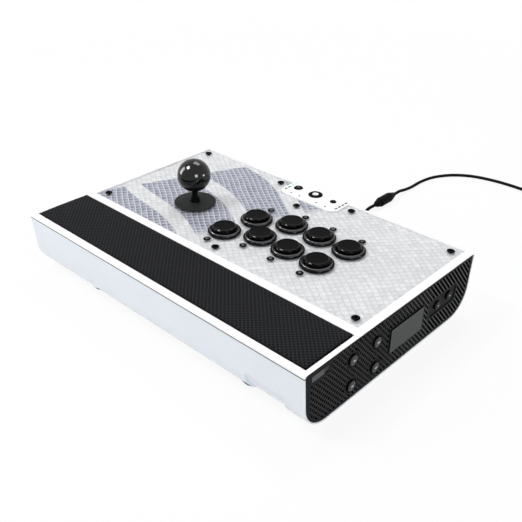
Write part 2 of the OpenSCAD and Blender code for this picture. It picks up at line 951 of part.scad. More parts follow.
// A cushion built of rounded rings, drawn in at its sides and crowned on top
quarter_turn = 90;
function pad_ring(w, d, r, z, n) = [
    for (q = [0:3]) for (k = [0:n])
        let(
            t = quarter_turn * (q + k / n),
            sx = q == 0 || q == 3 ? 1 : -1,
            sy = q < 2 ? 1 : -1
        )
            [sx * (w / 2 - r) + r * cos(t), sy * (d / 2 - r) + r * sin(t), z]
];
pad_corner = 3;
pad_corner_steps = 5;
pad_gap = 0.3;
pad_draw = 0.5;
pad_corner_share = 0.8;
// Share of the way in from the edge, and share of the crown's height, of each ring on top
pad_in_shares = [0, 0.012, 0.035, 0.08, 0.16, 0.3, 0.5, 0.72];
pad_up_shares = [0.3, 0.52, 0.68, 0.8, 0.9, 0.96, 0.99, 1];

module wrist_pad() {
    w = case_w - 2 * pad_side - 2 * pad_gap;
    d = pad_d - 2 * pad_gap;
    z0 = top_z - pad_sink;
    n = 4 * (pad_corner_steps + 1);
    lower = [
        pad_ring(w - 2 * pad_draw, d - 2 * pad_draw, pad_corner, z0, pad_corner_steps),
        pad_ring(w, d, pad_corner, z0 + pad_sink / 2, pad_corner_steps),
        pad_ring(w, d, pad_corner, top_z, pad_corner_steps)
    ];
    upper = [
        for (k = [0:len(pad_in_shares) - 1])
            let(in = pad_in_shares[k] * d + pad_draw * pad_up_shares[0])
                pad_ring(
                    w - in, d - in, pad_corner * (1 - pad_corner_share * pad_in_shares[k]),
                    top_z + pad_crown * pad_up_shares[k], pad_corner_steps
                )
    ];
    rings = concat(lower, upper);
    points = concat([for (ring = rings) each ring], [[0, 0, z0], [0, 0, top_z + pad_crown]]);
    last = (len(rings) - 1) * n;
    faces = concat(
        [for (j = [0:len(rings) - 2]) for (k = [0:n - 1])
            each [
                [j * n + k, (j + 1) * n + k, j * n + (k + 1) % n],
                [j * n + (k + 1) % n, (j + 1) * n + k, (j + 1) * n + (k + 1) % n]
            ]],
        [for (k = [0:n - 1]) [k, (k + 1) % n, len(points) - 2]],
        [for (k = [0:n - 1]) [last + (k + 1) % n, last + k, len(points) - 1]]
    );
    color([0.17, 0.17, 0.18])
        translate([0, pad_y0 + pad_d / 2, 0])
            polyhedron(points, faces);
}

module acrylic_cover() {
    color([0.93, 0.95, 0.97, 0.4])
        faceplate_sheet(sheet_z, acrylic_t);
}

module printed_sheet() {
    color([0.86, 0.87, 0.9])
        faceplate_sheet(steel_z, sheet_t);
}

module control_plate() {
    color("gray")
        faceplate_sheet(ledge_z, steel_t);
}

module faceplate_screws() {
    color("black")
        for (p = screw_places)
            translate([p[0], p[1], face_z]) {
                cylinder(h = screw_head_h, r = screw_head_r);
                translate([0, 0, -screw_len])
                    cylinder(h = screw_len, r = screw_r);
            }
}

module icon_discs() {
    color("black")
        for (i = [0:7])
            let(shift = i == 0 ? first_disc_shift : [0, 0])
                translate([
                    button_at(i)[0] + disc_dx + shift[0],
                    button_at(i)[1] + (i < 4 ? disc_off : -disc_off) + shift[1],
                    face_z
                ])
                    cylinder(h = disc_h, r = disc_r);
}

module function_button(k) {
    color("black")
        translate([function_x + (k - 1) * function_pitch, function_y, 0])
            union() {
                translate([0, 0, top_z - function_head + function_travel + slip])
                    cylinder(
                        h = function_head + function_proud - function_travel - slip,
                        r = function_rs[k]
                    );
                translate([0, 0, ledge_z - ledge_t - slip - function_flange_t])
                    cylinder(
                        h = top_z - ledge_z + ledge_t + function_flange_t - overrun,
                        r = function_stem_r
                    );
                translate([0, 0, ledge_z - ledge_t - slip - function_flange_t])
                    cylinder(h = function_flange_t, r = function_flange_r);
            }
}

function_board_z = ledge_z - ledge_t - slip - function_flange_t - function_travel - slip - dome_h;

module function_board() {
    half = function_pitch + function_rs[0] + 2 * boss_r;
    front = function_y - 3 * function_flange_r;
    color([0.05, 0.3, 0.15])
    union() {
        span(
            [function_x - half, function_x + half],
            [front, function_y + function_flange_r],
            [function_board_z - board_t, function_board_z]
        );
        for (k = [0:2])
            translate([function_x + (k - 1) * function_pitch, function_y, function_board_z])
                cylinder(h = dome_h, r = dome_r);
        // Spacers up to the shelf
        for (s = [-1, 1])
            translate([function_x + s * (half - boss_r), function_y, function_board_z])
                cylinder(h = ledge_z - ledge_t - function_board_z, r = dome_r);
    }
}

module button_body(i) {
    bore = plunger_r + bore_gap;
    translate([button_at(i)[0], button_at(i)[1], face_z])
        rotate_extrude()
            polygon([
                [bore, flange_h], [shoulder_r, flange_h],
                [flange_r - button_edge / 2, flange_h - shoulder_drop],
                [flange_r, button_edge], [flange_r, 0],
                [button_barrel_r, 0], [button_barrel_r, -button_depth],
                [stem_hole_r, -button_depth], [stem_hole_r, button_floor - button_depth],
                [bore, button_floor - button_depth]
            ]);
}

module button_bodies() {
    color("black")
        for (i = [0:7])
            button_body(i);
}

module plunger(i) {
    inner = plunger_r - skirt_wall;
    color([0.07, 0.07, 0.07])
        translate([button_at(i)[0], button_at(i)[1], face_z])
            rotate_extrude()
                polygon([
                    [0, plunger_h], [plunger_r - cap_round, plunger_h],
                    [plunger_r - cap_round / 5, plunger_h - cap_round / 2],
                    [plunger_r, plunger_h - cap_t],
                    [plunger_r, -skirt_depth], [inner, -skirt_depth],
                    [inner, plunger_h - cap_t], [stem_r, plunger_h - cap_t],
                    [stem_r, plunger_travel + slip - button_depth],
                    [0, plunger_travel + slip - button_depth]
                ]);
}

module button_nuts() {
    color([0.1, 0.1, 0.1])
        for (i = [0:7])
            translate([button_at(i)[0], button_at(i)[1], ledge_z - nut_t])
                difference() {
                    cylinder(h = nut_t, r = nut_r);
                    translate([0, 0, -overrun])
                        cylinder(h = nut_t + 2 * overrun, r = button_barrel_r + nut_gap);
                }
}

// A microswitch with its two terminals, its working face upward
module microswitch() {
    union() {
        translate([-switch_l / 2, -switch_w / 2, -switch_h])
            cube([switch_l, switch_w, switch_h]);
        for (s = [-1, 1])
            translate([
                s * switch_l / 4 - terminal_t / 2, -switch_w / 4, -switch_h - terminal_l
            ])
                cube([terminal_t, switch_w / 2, terminal_l + overrun]);
    }
}

module button_switches() {
    color([0.15, 0.15, 0.16])
        for (i = [0:7])
            translate([button_at(i)[0], button_at(i)[1], face_z - button_depth])
                microswitch();
}

module ball_top() {
    color([0.05, 0.05, 0.05])
        translate([stick_x, stick_y, face_z + ball_h])
            difference() {
                sphere(ball_r, $fn = 96);
                translate([0, 0, -ball_r - ball_flat])
                    cylinder(h = ball_r, r = ball_r);
                translate([0, 0, -ball_r])
                    cylinder(h = ball_r - ball_flat + shaft_grip, r = shaft_r + shaft_gap);
            }
}

module lever_shaft() {
    top = face_z + ball_h - ball_flat + shaft_grip - slip;
    low = pivot_z - shaft_low;
    color("silver")
        translate([stick_x, stick_y, 0])
            difference() {
                translate([0, 0, low])
                    cylinder(h = top - low, r = shaft_r);
                // Groove of the retaining clip
                translate([0, 0, pivot_z - actuator_low - slip - clip_t])
                    difference() {
                        cylinder(h = clip_t + shaft_gap, r = shaft_r + overrun);
                        translate([0, 0, -overrun])
                            cylinder(h = clip_t + 3 * overrun, r = shaft_r * groove_share);
                    }
            }
}

module shaft_clip() {
    color("dimgray")
        translate([stick_x, stick_y, pivot_z - actuator_low - slip - clip_t])
            difference() {
                cylinder(h = clip_t, r = clip_r);
                translate([0, 0, -overrun])
                    cylinder(h = clip_t + 2 * overrun, r = shaft_r * groove_share + shaft_gap);
            }
}

module lever_sleeve() {
    top = face_z + ball_h - ball_flat - sleeve_top_drop;
    color([0.08, 0.08, 0.09])
        translate([stick_x, stick_y, 0])
            difference() {
                union() {
                    translate([0, 0, pivot_z - sleeve_low])
                        cylinder(h = top - pivot_z + sleeve_low, r = sleeve_r);
                    translate([0, 0, pivot_z])
                        sphere(pivot_r);
                }
                translate([0, 0, pivot_z - sleeve_low - overrun])
                    cylinder(h = case_h, r = shaft_r + shaft_gap);
            }
}

module pivot_bush() {
    color([0.85, 0.84, 0.8])
        translate([stick_x, stick_y, pivot_z])
            difference() {
                intersection() {
                    sphere(bush_r);
                    span([-bush_r, bush_r], [-bush_r, bush_r], [-bush_half, bush_half]);
                }
                sphere(bush_bore_r);
            }
}

module actuator() {
    color([0.1, 0.1, 0.11])
        translate([stick_x, stick_y, pivot_z])
            rotate_extrude()
                polygon([
                    [sleeve_r + actuator_gap, -actuator_drop],
                    [actuator_flange_r, -actuator_drop],
                    [actuator_flange_r, -actuator_drop - actuator_flange_t],
                    [actuator_r, -actuator_drop - 2 * actuator_flange_t],
                    [actuator_r, -actuator_low],
                    [shaft_r + shaft_gap, -actuator_low],
                    [shaft_r + shaft_gap, -sleeve_low - shaft_gap],
                    [sleeve_r + actuator_gap, -sleeve_low - shaft_gap]
                ]);
}

// A tube of triangles swept along a path, with its rings kept level
function unit(v) = v / norm(v);
function tube_ring(p, way, r, sides) =
    let(side = unit(cross(way, [0, 0, 1])), up = cross(side, way))
        [for (k = [0:sides - 1]) p + r * (cos(360 * k / sides) * side + sin(360 * k / sides) * up)];
function path_way(path, k) = unit(
    k == 0 ? path[1] - path[0]
    : k == len(path) - 1 ? path[k] - path[k - 1]
    : unit(path[k + 1] - path[k]) + unit(path[k] - path[k - 1])
);

module tube(path, r, sides) {
    last = len(path) - 1;
    points = [for (k = [0:last]) each tube_ring(path[k], path_way(path, k), r, sides)];
    faces = concat(
        [for (j = [0:last - 1]) for (k = [0:sides - 1])
            each [
                [j * sides + k, j * sides + (k + 1) % sides, (j + 1) * sides + k],
                [j * sides + (k + 1) % sides, (j + 1) * sides + (k + 1) % sides, (j + 1) * sides + k]
            ]],
        [for (k = [1:sides - 2]) [0, k + 1, k]],
        [for (k = [1:sides - 2]) [last * sides, last * sides + k, last * sides + k + 1]]
    );
    polyhedron(points, faces);
}

// Points of a smooth line through the given ones
function smooth(p, n) = [
    for (k = [0:len(p) - 2]) for (j = [0:n - 1])
        let(
            a = p[max(k - 1, 0)], b = p[k], c = p[k + 1], d = p[min(k + 2, len(p) - 1)], t = j / n
        )
            b + t * (c - a) / 2 + t * t * (a - 2.5 * b + 2 * c - d / 2)
                + t * t * t * (-a + 3 * b - 3 * c + d) / 2,
    p[len(p) - 1]
];

module lever_spring() {
    rings = 8;
    path = [
        for (k = [0:rings * spring_turns])
            let(u = k / (rings * spring_turns), r = spring_r0 + (spring_r1 - spring_r0) * u)
                [r * cos(360 * k / rings), r * sin(360 * k / rings), spring_h * u]
    ];
    color("silver")
        translate([stick_x, stick_y, pivot_z - actuator_drop + slip + spring_wire_r])
            tube(path, spring_wire_r, coil_sides);
}

module dust_washer() {
    color([0.19, 0.19, 0.19])
        translate([stick_x, stick_y, face_z + washer_lift])
            difference() {
                cylinder(h = washer_t, r = washer_r);
                translate([0, 0, -overrun])
                    cylinder(h = washer_t + 2 * overrun, r = sleeve_r + washer_gap);
            }
}

module lower_washer() {
    color([0.12, 0.12, 0.12])
        translate([stick_x, stick_y, housing_z - well_h + slip])
            difference() {
                cylinder(h = lower_washer_t, r = lower_washer_r);
                translate([0, 0, -overrun])
                    cylinder(h = lower_washer_t + 2 * overrun, r = lower_hole_r);
            }
}

module stick_bracket() {
    color("lightgray")
        translate([stick_x, stick_y, housing_z])
            difference() {
                span(
                    [-bracket_l / 2, bracket_l / 2], [-bracket_w / 2, bracket_w / 2], [0, bracket_t]
                );
                translate([0, 0, -overrun])
                    cylinder(h = bracket_t + 2 * overrun, r = lever_hole_r);
                for (sx = [-1, 1])
                    for (sy = [-1, 1])
                        translate([sx * stud_x, sy * stud_y, -overrun])
                            cylinder(h = bracket_t + 2 * overrun, r = stud_r + stud_gap);
            }
}

module stick_housing() {
    top = housing_z - pivot_z;
    low = top - housing_drop;
    color([0.13, 0.13, 0.14])
        translate([stick_x, stick_y, pivot_z])
            difference() {
                union() {
                    span(
                        [-housing_w / 2 + housing_edge, housing_w / 2 - housing_edge],
                        [-housing_w / 2, housing_w / 2],
                        [low, top]
                    );
                    span(
                        [-housing_w / 2, housing_w / 2],
                        [-housing_w / 2 + housing_edge, housing_w / 2 - housing_edge],
                        [low, top]
                    );
                }
                translate([0, 0, top - well_h])
                    cylinder(h = well_h + overrun, r = well_r);
                translate([0, 0, throat_drop])
                    cylinder(h = top, r = throat_r);
                sphere(socket_r);
                translate([0, 0, low - overrun])
                    cylinder(h = -low - chamber_top + overrun, r = chamber_r);
                span(
                    [-switch_bay / 2, switch_bay / 2],
                    [-switch_bay / 2, switch_bay / 2],
                    [low - overrun, low + switch_bay_h]
                );
            }
}

// One lever switch lies on its side, its blade toward the actuator
module lever_switches() {
    low = housing_z - housing_drop;
    color([0.2, 0.2, 0.22])
        translate([stick_x, stick_y, low])
            for (a = [0:90:270])
                rotate(a)
                    union() {
                        span(
                            [lever_switch_in, lever_switch_in + switch_h],
                            [-switch_l / 2, switch_l / 2],
                            [slip, slip + switch_w]
                        );
                        span(
                            [lever_switch_blade, lever_switch_blade + blade_t],
                            [-blade_w, blade_w],
                            [switch_w / 2 - blade_w / 4, switch_w / 2 + blade_w / 4]
                        );
                        span(
                            [lever_switch_blade, lever_switch_in + overrun],
                            [blade_w - blade_t, blade_w],
                            [switch_w / 2 - blade_w / 4, switch_w / 2 + blade_w / 4]
                        );
                    }
}

module restrictor_gate() {
    color([0.75, 0.75, 0.78])
        translate([stick_x, stick_y, housing_z - housing_drop - gate_t])
            difference() {
                span([-gate_w / 2, gate_w / 2], [-gate_w / 2, gate_w / 2], [0, gate_t]);
                span(
                    [-gate_open / 2, gate_open / 2], [-gate_open / 2, gate_open / 2],
                    [-overrun, gate_t + overrun]
                );
            }
}

module stick_nuts() {
    color("silver")
        for (sx = [-1, 1])
            for (sy = [-1, 1])
                translate([stick_x + sx * stud_x, stick_y + sy * stud_y, 0]) {
                    translate([0, 0, housing_z - stick_nut_t - overrun])
                        cylinder(h = ledge_z - housing_z + stick_nut_t + overrun, r = stud_r);
                    translate([0, 0, housing_z - stick_nut_t])
                        cylinder(h = stick_nut_t, r = stick_nut_r, $fn = 6);
                }
}

module main_board() {
    z = floor_z + standoff_h;
    color([0.05, 0.3, 0.15])
    union() {
        span(
            [main_x - main_w / 2, main_x + main_w / 2],
            [main_y - main_d / 2, main_y + main_d / 2],
            [z, z + board_t]
        );
        translate([main_x - chip_w / 2, main_y - chip_w / 2, z + board_t])
            cube([chip_w, chip_w, chip_t]);
        for (k = [-1:1])
            translate([
                main_x + k * (socket_w + socket_h) - socket_w / 2,
                main_y + main_d / 2 - socket_h,
                z + board_t
            ])
                cube([socket_w, socket_h, socket_h]);
    }
}

module rubber_feet() {
    color([0.1, 0.1, 0.1])
        for (p = foot_places)
            translate([p[0], p[1], 0])
                cylinder(h = foot_h + foot_seat, r = foot_r);
}

module case_screws() {
    color("dimgray")
        for (p = post_places)
            translate([p[0], p[1], counterbore_z - case_screw_head_h]) {
                cylinder(h = case_screw_head_h, r = case_screw_head_r);
                cylinder(h = case_screw_len, r = case_screw_r);
            }
}

// The strain relief: a barb inside the rear wall, a flange outside it, a boot tapered to the cord
module cord_gland() {
    seat = gland_seat_y();
    barb = seat - gland_seat - gland_barb_in;
    tip = cord_points_a[0][1];
    color([0.08, 0.08, 0.08])
        translate([cord_x, 0, gland_z])
            rotate([-90, 0, 0])
                rotate_extrude()
                    polygon([
                        [0, barb - gland_flange_t], [gland_hole_r, barb - gland_flange_t],
                        [gland_barb_r, barb], [gland_hole_r, barb],
                        [gland_hole_r, seat], [gland_r, seat],
                        [gland_r, seat + gland_seat + gland_flange_t],
                        [gland_hole_r, seat + gland_seat + 2 * gland_flange_t],
                        [gland_tip_r, tip], [0, tip]
                    ]);
}

module cord() {
    color([0.07, 0.07, 0.07]) {
        tube(smooth(cord_points_a, cord_steps), cord_r, cord_sides);
        tube(smooth(cord_points_b, cord_steps), cord_r, cord_sides);
    }
}

module cord_barrel() {
    y0 = cord_points_a[len(cord_points_a) - 1][1];
    tip = cord_r * collar_share;
    color([0.07, 0.07, 0.07])
        translate([cord_x, y0, cord_points_b[0][2]])
            rotate([-90, 0, 0])
                rotate_extrude()
                    polygon([for (p = barrel_shares)
                        [p[1] == 0 ? 0 : tip + p[1] * (barrel_r - tip), p[0] * barrel_len]]);
}
// Share of the length, and share of the way from the tip's radius to the full one
barrel_shares = [
    [0, 0], [0, 0.01], [0.16, 0.6], [0.16, 0.4], [0.2, 0.4], [0.2, 0.85], [0.24, 1],
    [0.72, 1], [0.78, 0.9], [0.96, 0.15], [1, 0.01], [1, 0]
];

// The put-away cord: it spirals in and out again, and climbs a layer in the half turn between
coil_turns = coil_layers * coil_sweep + (coil_layers - 1) * coil_climb;
function coil_layer(u) = min(floor(u / (coil_sweep + coil_climb)), coil_layers - 1);
function coil_point(u) =
    let(
        n = coil_layer(u),
        v = u - n * (coil_sweep + coil_climb),
        sweep = min(v, coil_sweep) * coil_pitch,
        r = n % 2 == 0 ? coil_r - sweep : coil_r - coil_sweep * coil_pitch + sweep,
        climb = max(v - coil_sweep, 0) / coil_climb
    )
        [
            coil_x + r * sin(360 * u), coil_y - r * cos(360 * u),
            coil_z + (n + climb) * coil_pitch
        ];
coil_path = [for (k = [0:coil_rings * coil_turns]) coil_point(k / coil_rings)];
// Least gap of the coil to itself, over points more than half a loop apart
coil_gap = min([
    for (i = [0:len(coil_path) - 1]) for (j = [i + coil_rings / 2:len(coil_path) - 1])
        norm(coil_path[i] - coil_path[j])
]) - 2 * cord_r;

module cord_coil() {
    path = concat([cord_points_b[len(cord_points_b) - 1]], coil_path, smooth(cord_tail, cord_steps));
    color([0.07, 0.07, 0.07])
        tube(path, cord_r, coil_sides);
}

module cord_tie() {
    inner = coil_r - coil_sweep * coil_pitch - cord_r;
    r0 = sqrt(inner * inner - tie_w * tie_w / 4) - tie_gap;
    r1 = coil_r + cord_r + tie_gap;
    z0 = coil_z - cord_r - tie_gap;
    z1 = coil_z + (coil_layers - 1) * coil_pitch + cord_r + tie_gap;
    color([0.2, 0.2, 0.2])
        translate([coil_x, coil_y, 0])
            rotate(tie_turn)
                difference() {
                    span([r0 - tie_t, r1 + tie_t], [-tie_w / 2, tie_w / 2], [z0 - tie_t, z1 + tie_t]);
                    span([r0, r1], [-tie_w, tie_w], [z0, z1]);
                }
}

// The plug at the cord's end: a tapered relief, a moulded grip and a metal shell
module plug() {
    start = cord_tail[len(cord_tail) - 1];
    color([0.1, 0.1, 0.1])
        translate(start)
            union() {
                rotate([0, 90, 0])
                    rotate_extrude()
                        polygon([
                            [0, 0], [cord_r * relief_share, 0], [plug_taper_r, plug_taper],
                            [plug_taper_r, plug_taper + overrun], [0, plug_taper + overrun]
                        ]);
                span(
                    [plug_taper, plug_taper + plug_len],
                    [-plug_w / 2, plug_w / 2], [-plug_h / 2, plug_h / 2]
                );
                span(
                    [plug_taper + plug_len - overrun, plug_taper + plug_len + plug_tip_len],
                    [-plug_tip_w / 2, plug_tip_w / 2], [-plug_tip_h / 2, plug_tip_h / 2]
                );
            }
}

echo(coil_gap_mm = coil_gap);

top_cover();
lower_shell();
left_side_panel();
right_side_panel();
wrist_pad();
acrylic_cover();
printed_sheet();
control_plate();
faceplate_screws();
icon_discs();
function_button(0);  // function_button_left
function_button(1);  // function_button_centre
function_button(2);  // function_button_right
function_board();
status_lights();
button_bodies();
button_nuts();
button_switches();
plunger(0);  // plunger_1
plunger(1);  // plunger_2
plunger(2);  // plunger_3
plunger(3);  // plunger_4
plunger(4);  // plunger_5
plunger(5);  // plunger_6
plunger(6);  // plunger_7
plunger(7);  // plunger_8
ball_top();
lever_shaft();
shaft_clip();
lever_sleeve();
pivot_bush();
actuator();
lever_spring();
dust_washer();
lower_washer();
stick_bracket();
stick_housing();
restrictor_gate();
lever_switches();
stick_nuts();
display_window();
display_module();
side_board();
side_button(0);  // side_button_1
side_button(1);  // side_button_2
side_button(2);  // side_button_3
side_button(3);  // side_button_4
pocket_button(0);  // pocket_button_1
pocket_button(1);  // pocket_button_2
mode_slider();
main_board();
rubber_feet();
case_screws();
cord_gland();
cord();
cord_barrel();
cord_coil();
cord_tie();
plug();
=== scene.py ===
import math

import bmesh
import bpy
from mathutils import Matrix, Vector


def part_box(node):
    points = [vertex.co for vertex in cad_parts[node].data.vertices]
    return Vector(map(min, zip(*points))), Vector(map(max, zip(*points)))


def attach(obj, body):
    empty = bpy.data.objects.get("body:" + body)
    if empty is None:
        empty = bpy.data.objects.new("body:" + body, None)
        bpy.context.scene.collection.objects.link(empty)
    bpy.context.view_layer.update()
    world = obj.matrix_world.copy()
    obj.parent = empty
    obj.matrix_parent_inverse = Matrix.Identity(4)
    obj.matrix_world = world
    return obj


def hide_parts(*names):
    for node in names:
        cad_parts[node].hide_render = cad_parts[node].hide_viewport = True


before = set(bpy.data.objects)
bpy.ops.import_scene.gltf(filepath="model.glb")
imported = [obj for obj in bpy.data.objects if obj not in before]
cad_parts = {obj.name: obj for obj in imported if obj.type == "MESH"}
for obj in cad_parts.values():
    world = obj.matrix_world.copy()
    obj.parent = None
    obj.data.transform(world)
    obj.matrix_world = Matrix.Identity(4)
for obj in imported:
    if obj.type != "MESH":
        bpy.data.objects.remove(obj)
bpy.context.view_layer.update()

bl_info = {
    "name": "Arcade Fight Stick",
    "version": (1, 0, 0),
    "blender": (4, 5, 0),
    "location": "3D View > Sidebar > Fight Stick",
    "description": "Dresses the packed arcade fight stick with finished pieces and a studio",
    "category": "Object",
}

MM = 0.001
# Allowance in tests on the places of faces
SLACK = 0.0001
SMOOTH_ANGLE = math.radians(32)


def tone(red, green, blue):
    """A screen colour from 0 to 255 as linear light."""
    def linear(c):
        c /= 255
        return c / 12.92 if c <= 0.04045 else ((c + 0.055) / 1.055) ** 2.4
    return (linear(red), linear(green), linear(blue), 1.0)


def colour(name, about, *rgb):
    return bpy.props.FloatVectorProperty(
        name=name, description=about, subtype="COLOR", size=4, min=0, max=1, default=tone(*rgb)
    )


def length(name, about, metres):
    return bpy.props.FloatProperty(name=name, description=about, unit="LENGTH", default=metres)


def angle(name, about, degrees):
    return bpy.props.FloatProperty(
        name=name, description=about, subtype="ANGLE", default=math.radians(degrees)
    )


class StickSizes(bpy.types.PropertyGroup):
    edge_round: length("Edge rounding", "Rounding of the case's moulded edges", 0.0004)
    pad_pitch: length("Dimple spacing", "Spacing of the wrist pad's dimples", 0.0032)
    pad_crown: length("Pad crown", "Rise of the wrist pad above the cover", 0.0016)
    mesh_pitch: length("Mesh spacing", "Size of a cell of the faceplate's printed mesh", 0.0062)
    cord_width: length("Cord diameter", "Diameter of the cord", 0.004)
    rib_pitch: length("Rib spacing", "Spacing of the ribs across the panel's grooves", 0.00376)


class StickColours(bpy.types.PropertyGroup):
    cover: colour("Cover", "White top cover", 250, 250, 251)
    shell: colour("Shell", "Pale lower shell", 231, 237, 243)
    panel: colour("Panel", "Plain ground of the side panels", 31, 32, 33)
    ridge: colour("Ridges", "Ridges between the panel's grooves", 90, 91, 92)
    pad: colour("Pad", "Wrist pad", 38, 39, 42)
    sheet: colour("Sheet", "Light ground of the printed sheet", 226, 227, 229)
    band: colour("Band", "Blue-grey bands of the printed sheet", 132, 135, 153)
    black: colour("Black", "Polished black plastic", 6, 6, 7)
    screen: colour("Screen", "Display window", 77, 80, 78)
    key: colour("Key", "Round side buttons", 66, 67, 69)


class StickView(bpy.types.PropertyGroup):
    place: bpy.props.FloatVectorProperty(
        name="Place", description="Camera position", subtype="XYZ_LENGTH",
        default=(0.45208, -0.45515, 0.42593),
    )
    yaw: angle("Yaw", "Turn of the camera to the left of straight back", 43.224)
    pitch: angle("Pitch", "Tilt of the camera below the horizon", 31.554)
    roll: angle("Roll", "Turn of the camera about its own axis", 0.255)
    lens: bpy.props.FloatProperty(
        name="Lens", description="Focal length", subtype="DISTANCE_CAMERA", default=51.13
    )


def sizes():
    return bpy.context.scene.stick_sizes


def colours():
    return bpy.context.scene.stick_colours


# Shader helpers

def operator(operation):
    return lambda self, *other: self.tree.calc(operation, self, *other)


class Value:
    """A number or colour of a shader tree; arithmetic on it adds the nodes that work it out."""

    def __init__(self, tree, socket):
        self.tree = tree
        self.socket = socket

    __add__ = __radd__ = operator("ADD")
    __sub__ = operator("SUBTRACT")
    __mul__ = __rmul__ = operator("MULTIPLY")
    __lt__ = operator("LESS_THAN")
    __gt__ = operator("GREATER_THAN")
    __abs__ = operator("ABSOLUTE")

    def __rsub__(self, other):
        return self.tree.calc("SUBTRACT", other, self)


class Tree:
    """Adds nodes to a tree and links them as they are made."""

    def __init__(self, tree):
        self.tree = tree

    def node(self, kind, settings=None, **inputs):
        made = self.tree.nodes.new("ShaderNode" + kind)
        for key, value in (settings or {}).items():
            setattr(made, key, value)
        for key, value in inputs.items():
            self.feed(made.inputs[key.replace("_", " ")], value)
        return made

    def feed(self, socket, value):
        if isinstance(value, Value):
            value = value.socket
        if isinstance(value, bpy.types.NodeSocket):
            self.tree.links.new(value, socket)
        else:
            socket.default_value = value

    def feed_all(self, sockets, values):
        for socket, value in zip(sockets, values):
            self.feed(socket, value)

    def value(self, kind, settings=None, **inputs):
        return Value(self, self.node(kind, settings, **inputs).outputs[0])

    def calc(self, operation, *values):
        made = self.node("Math", {"operation": operation})
        self.feed_all(made.inputs, values)
        return Value(self, made.outputs[0])

    def vector(self, operation, *values):
        made = self.node("VectorMath", {"operation": operation})
        self.feed_all(made.inputs, values)
        scalar = operation in ("DOT_PRODUCT", "LENGTH", "DISTANCE")
        return Value(self, made.outputs["Value" if scalar else "Vector"])

    def xyz(self, x, y):
        return self.value("CombineXYZ", X=x, Y=y)

    def split(self, vector):
        return [Value(self, out) for out in self.node("SeparateXYZ", Vector=vector).outputs]

    def noise(self, vector, scale, detail, distortion=0.0):
        return self.value(
            "TexNoise", Vector=vector, Scale=scale, Detail=detail, Distortion=distortion
        )

    def ramp(self, value, low, high, to_low=0.0, to_high=1.0):
        return self.value(
            "MapRange", {"interpolation_type": "SMOOTHSTEP"},
            Value=value, From_Min=low, From_Max=high, To_Min=to_low, To_Max=to_high,
        )

    def mix(self, factor, first, second, blend="MIX"):
        made = self.node("Mix", {"data_type": "RGBA", "blend_type": blend})
        self.feed_all([made.inputs[k] for k in (0, 6, 7)], (factor, first, second))
        return Value(self, made.outputs[2])

    def group(self, name, **inputs):
        made = self.node("Group", {"node_tree": bpy.data.node_groups[name]}, **inputs)
        return {out.name: Value(self, out) for out in made.outputs}

    def lattice(self, vector, pitch, *ways):
        """The crossed lattice with its lines across two ways."""
        first, second = ([part / pitch for part in way] for way in ways)
        return self.group(
            "Crossed lattice", Vector=vector, First_Direction=first, Second_Direction=second
        )


def new_group(name, inputs, outputs):
    """A shader group of named sockets; returns its tree, what comes in and where it goes out.
    Where a socket has no default value it carries a vector."""
    group = bpy.data.node_groups.new(name, "ShaderNodeTree")
    for way, sockets in (("INPUT", inputs), ("OUTPUT", outputs)):
        for label, value in sockets.items():
            kind = "NodeSocketVector" if value is None else "NodeSocketFloat"
            made = group.interface.new_socket(label, in_out=way, socket_type=kind)
            if value is not None:
                made.default_value = value
    tree = Tree(group)
    start = group.nodes.new("NodeGroupInput")
    end = group.nodes.new("NodeGroupOutput")
    return tree, {out.name: Value(tree, out) for out in start.outputs}, end.inputs


def make_grain():
    """Fine grain: a little relief, uneven gloss and a trace of tone, at any scale."""
    tree, start, end = new_group(
        "Fine grain",
        {"Vector": None, "Scale": 900, "Depth": 0.1, "Roughness": 0.4, "Spread": 0.06},
        {"Roughness": 0, "Tone": 0, "Normal": None},
    )
    broad_scale, relief = 22, 0.0002
    fine = tree.noise(start["Vector"], start["Scale"], 4)
    broad = tree.noise(start["Vector"], broad_scale, 3)
    tree.feed(end["Roughness"], start["Roughness"] + (fine + broad - 1) * start["Spread"])
    tree.feed(end["Tone"], broad * 0.06 + 0.97)
    tree.feed(end["Normal"], tree.value(
        "Bump", Height=fine, Strength=start["Depth"], Distance=relief
    ))


def make_lattice():
    """Two crossed families of lines: the depth in a cell, the slope over it, its own chance."""
    tree, start, end = new_group(
        "Crossed lattice",
        {"Vector": None, "First Direction": None, "Second Direction": None},
        {"Inside": 0, "Slope": 0, "Chance": 0},
    )
    lines = [
        tree.vector("DOT_PRODUCT", start["Vector"], start[way + " Direction"])
        for way in ("First", "Second")
    ]
    parts = [tree.calc("FRACT", line) for line in lines]
    tree.feed(end["Inside"], tree.calc("MINIMUM", *(0.5 - abs(part - 0.5) for part in parts)))
    tree.feed(end["Slope"], (parts[0] + parts[1]) * 0.5)
    corner = tree.xyz(*(tree.calc("FLOOR", line) for line in lines))
    tree.feed(end["Chance"], tree.value(
        "TexWhiteNoise", {"noise_dimensions": "2D"}, Vector=corner
    ))


# Specular level of dark skins, which the white surround would fade
DIM = 0.03


def finish(name, base, grain=900, depth=0.1, rough=0.4, spread=0.06, shine=0.5, **extra):
    """A moulded finish: the grain group with a Principled shader.
    Returns its tree, the shader's inputs, the place on the object and the grain's normal."""
    made = bpy.data.materials.new(name)
    made.use_nodes = True
    tree = Tree(made.node_tree)
    shader = made.node_tree.nodes["Principled BSDF"].inputs
    place = tree.node("TexCoord").outputs["Object"]
    out = tree.group(
        "Fine grain", Vector=place, Scale=grain, Depth=depth, Roughness=rough, Spread=spread
    )
    tree.feed(shader["Base Color"], tree.mix(1, base, out["Tone"], "MULTIPLY"))
    tree.feed(shader["Roughness"], out["Roughness"])
    tree.feed(shader["Normal"], out["Normal"])
    shader["Specular IOR Level"].default_value = shine
    for key, value in extra.items():
        shader[key.replace("_", " ")].default_value = value
    return tree, shader, place, out["Normal"]


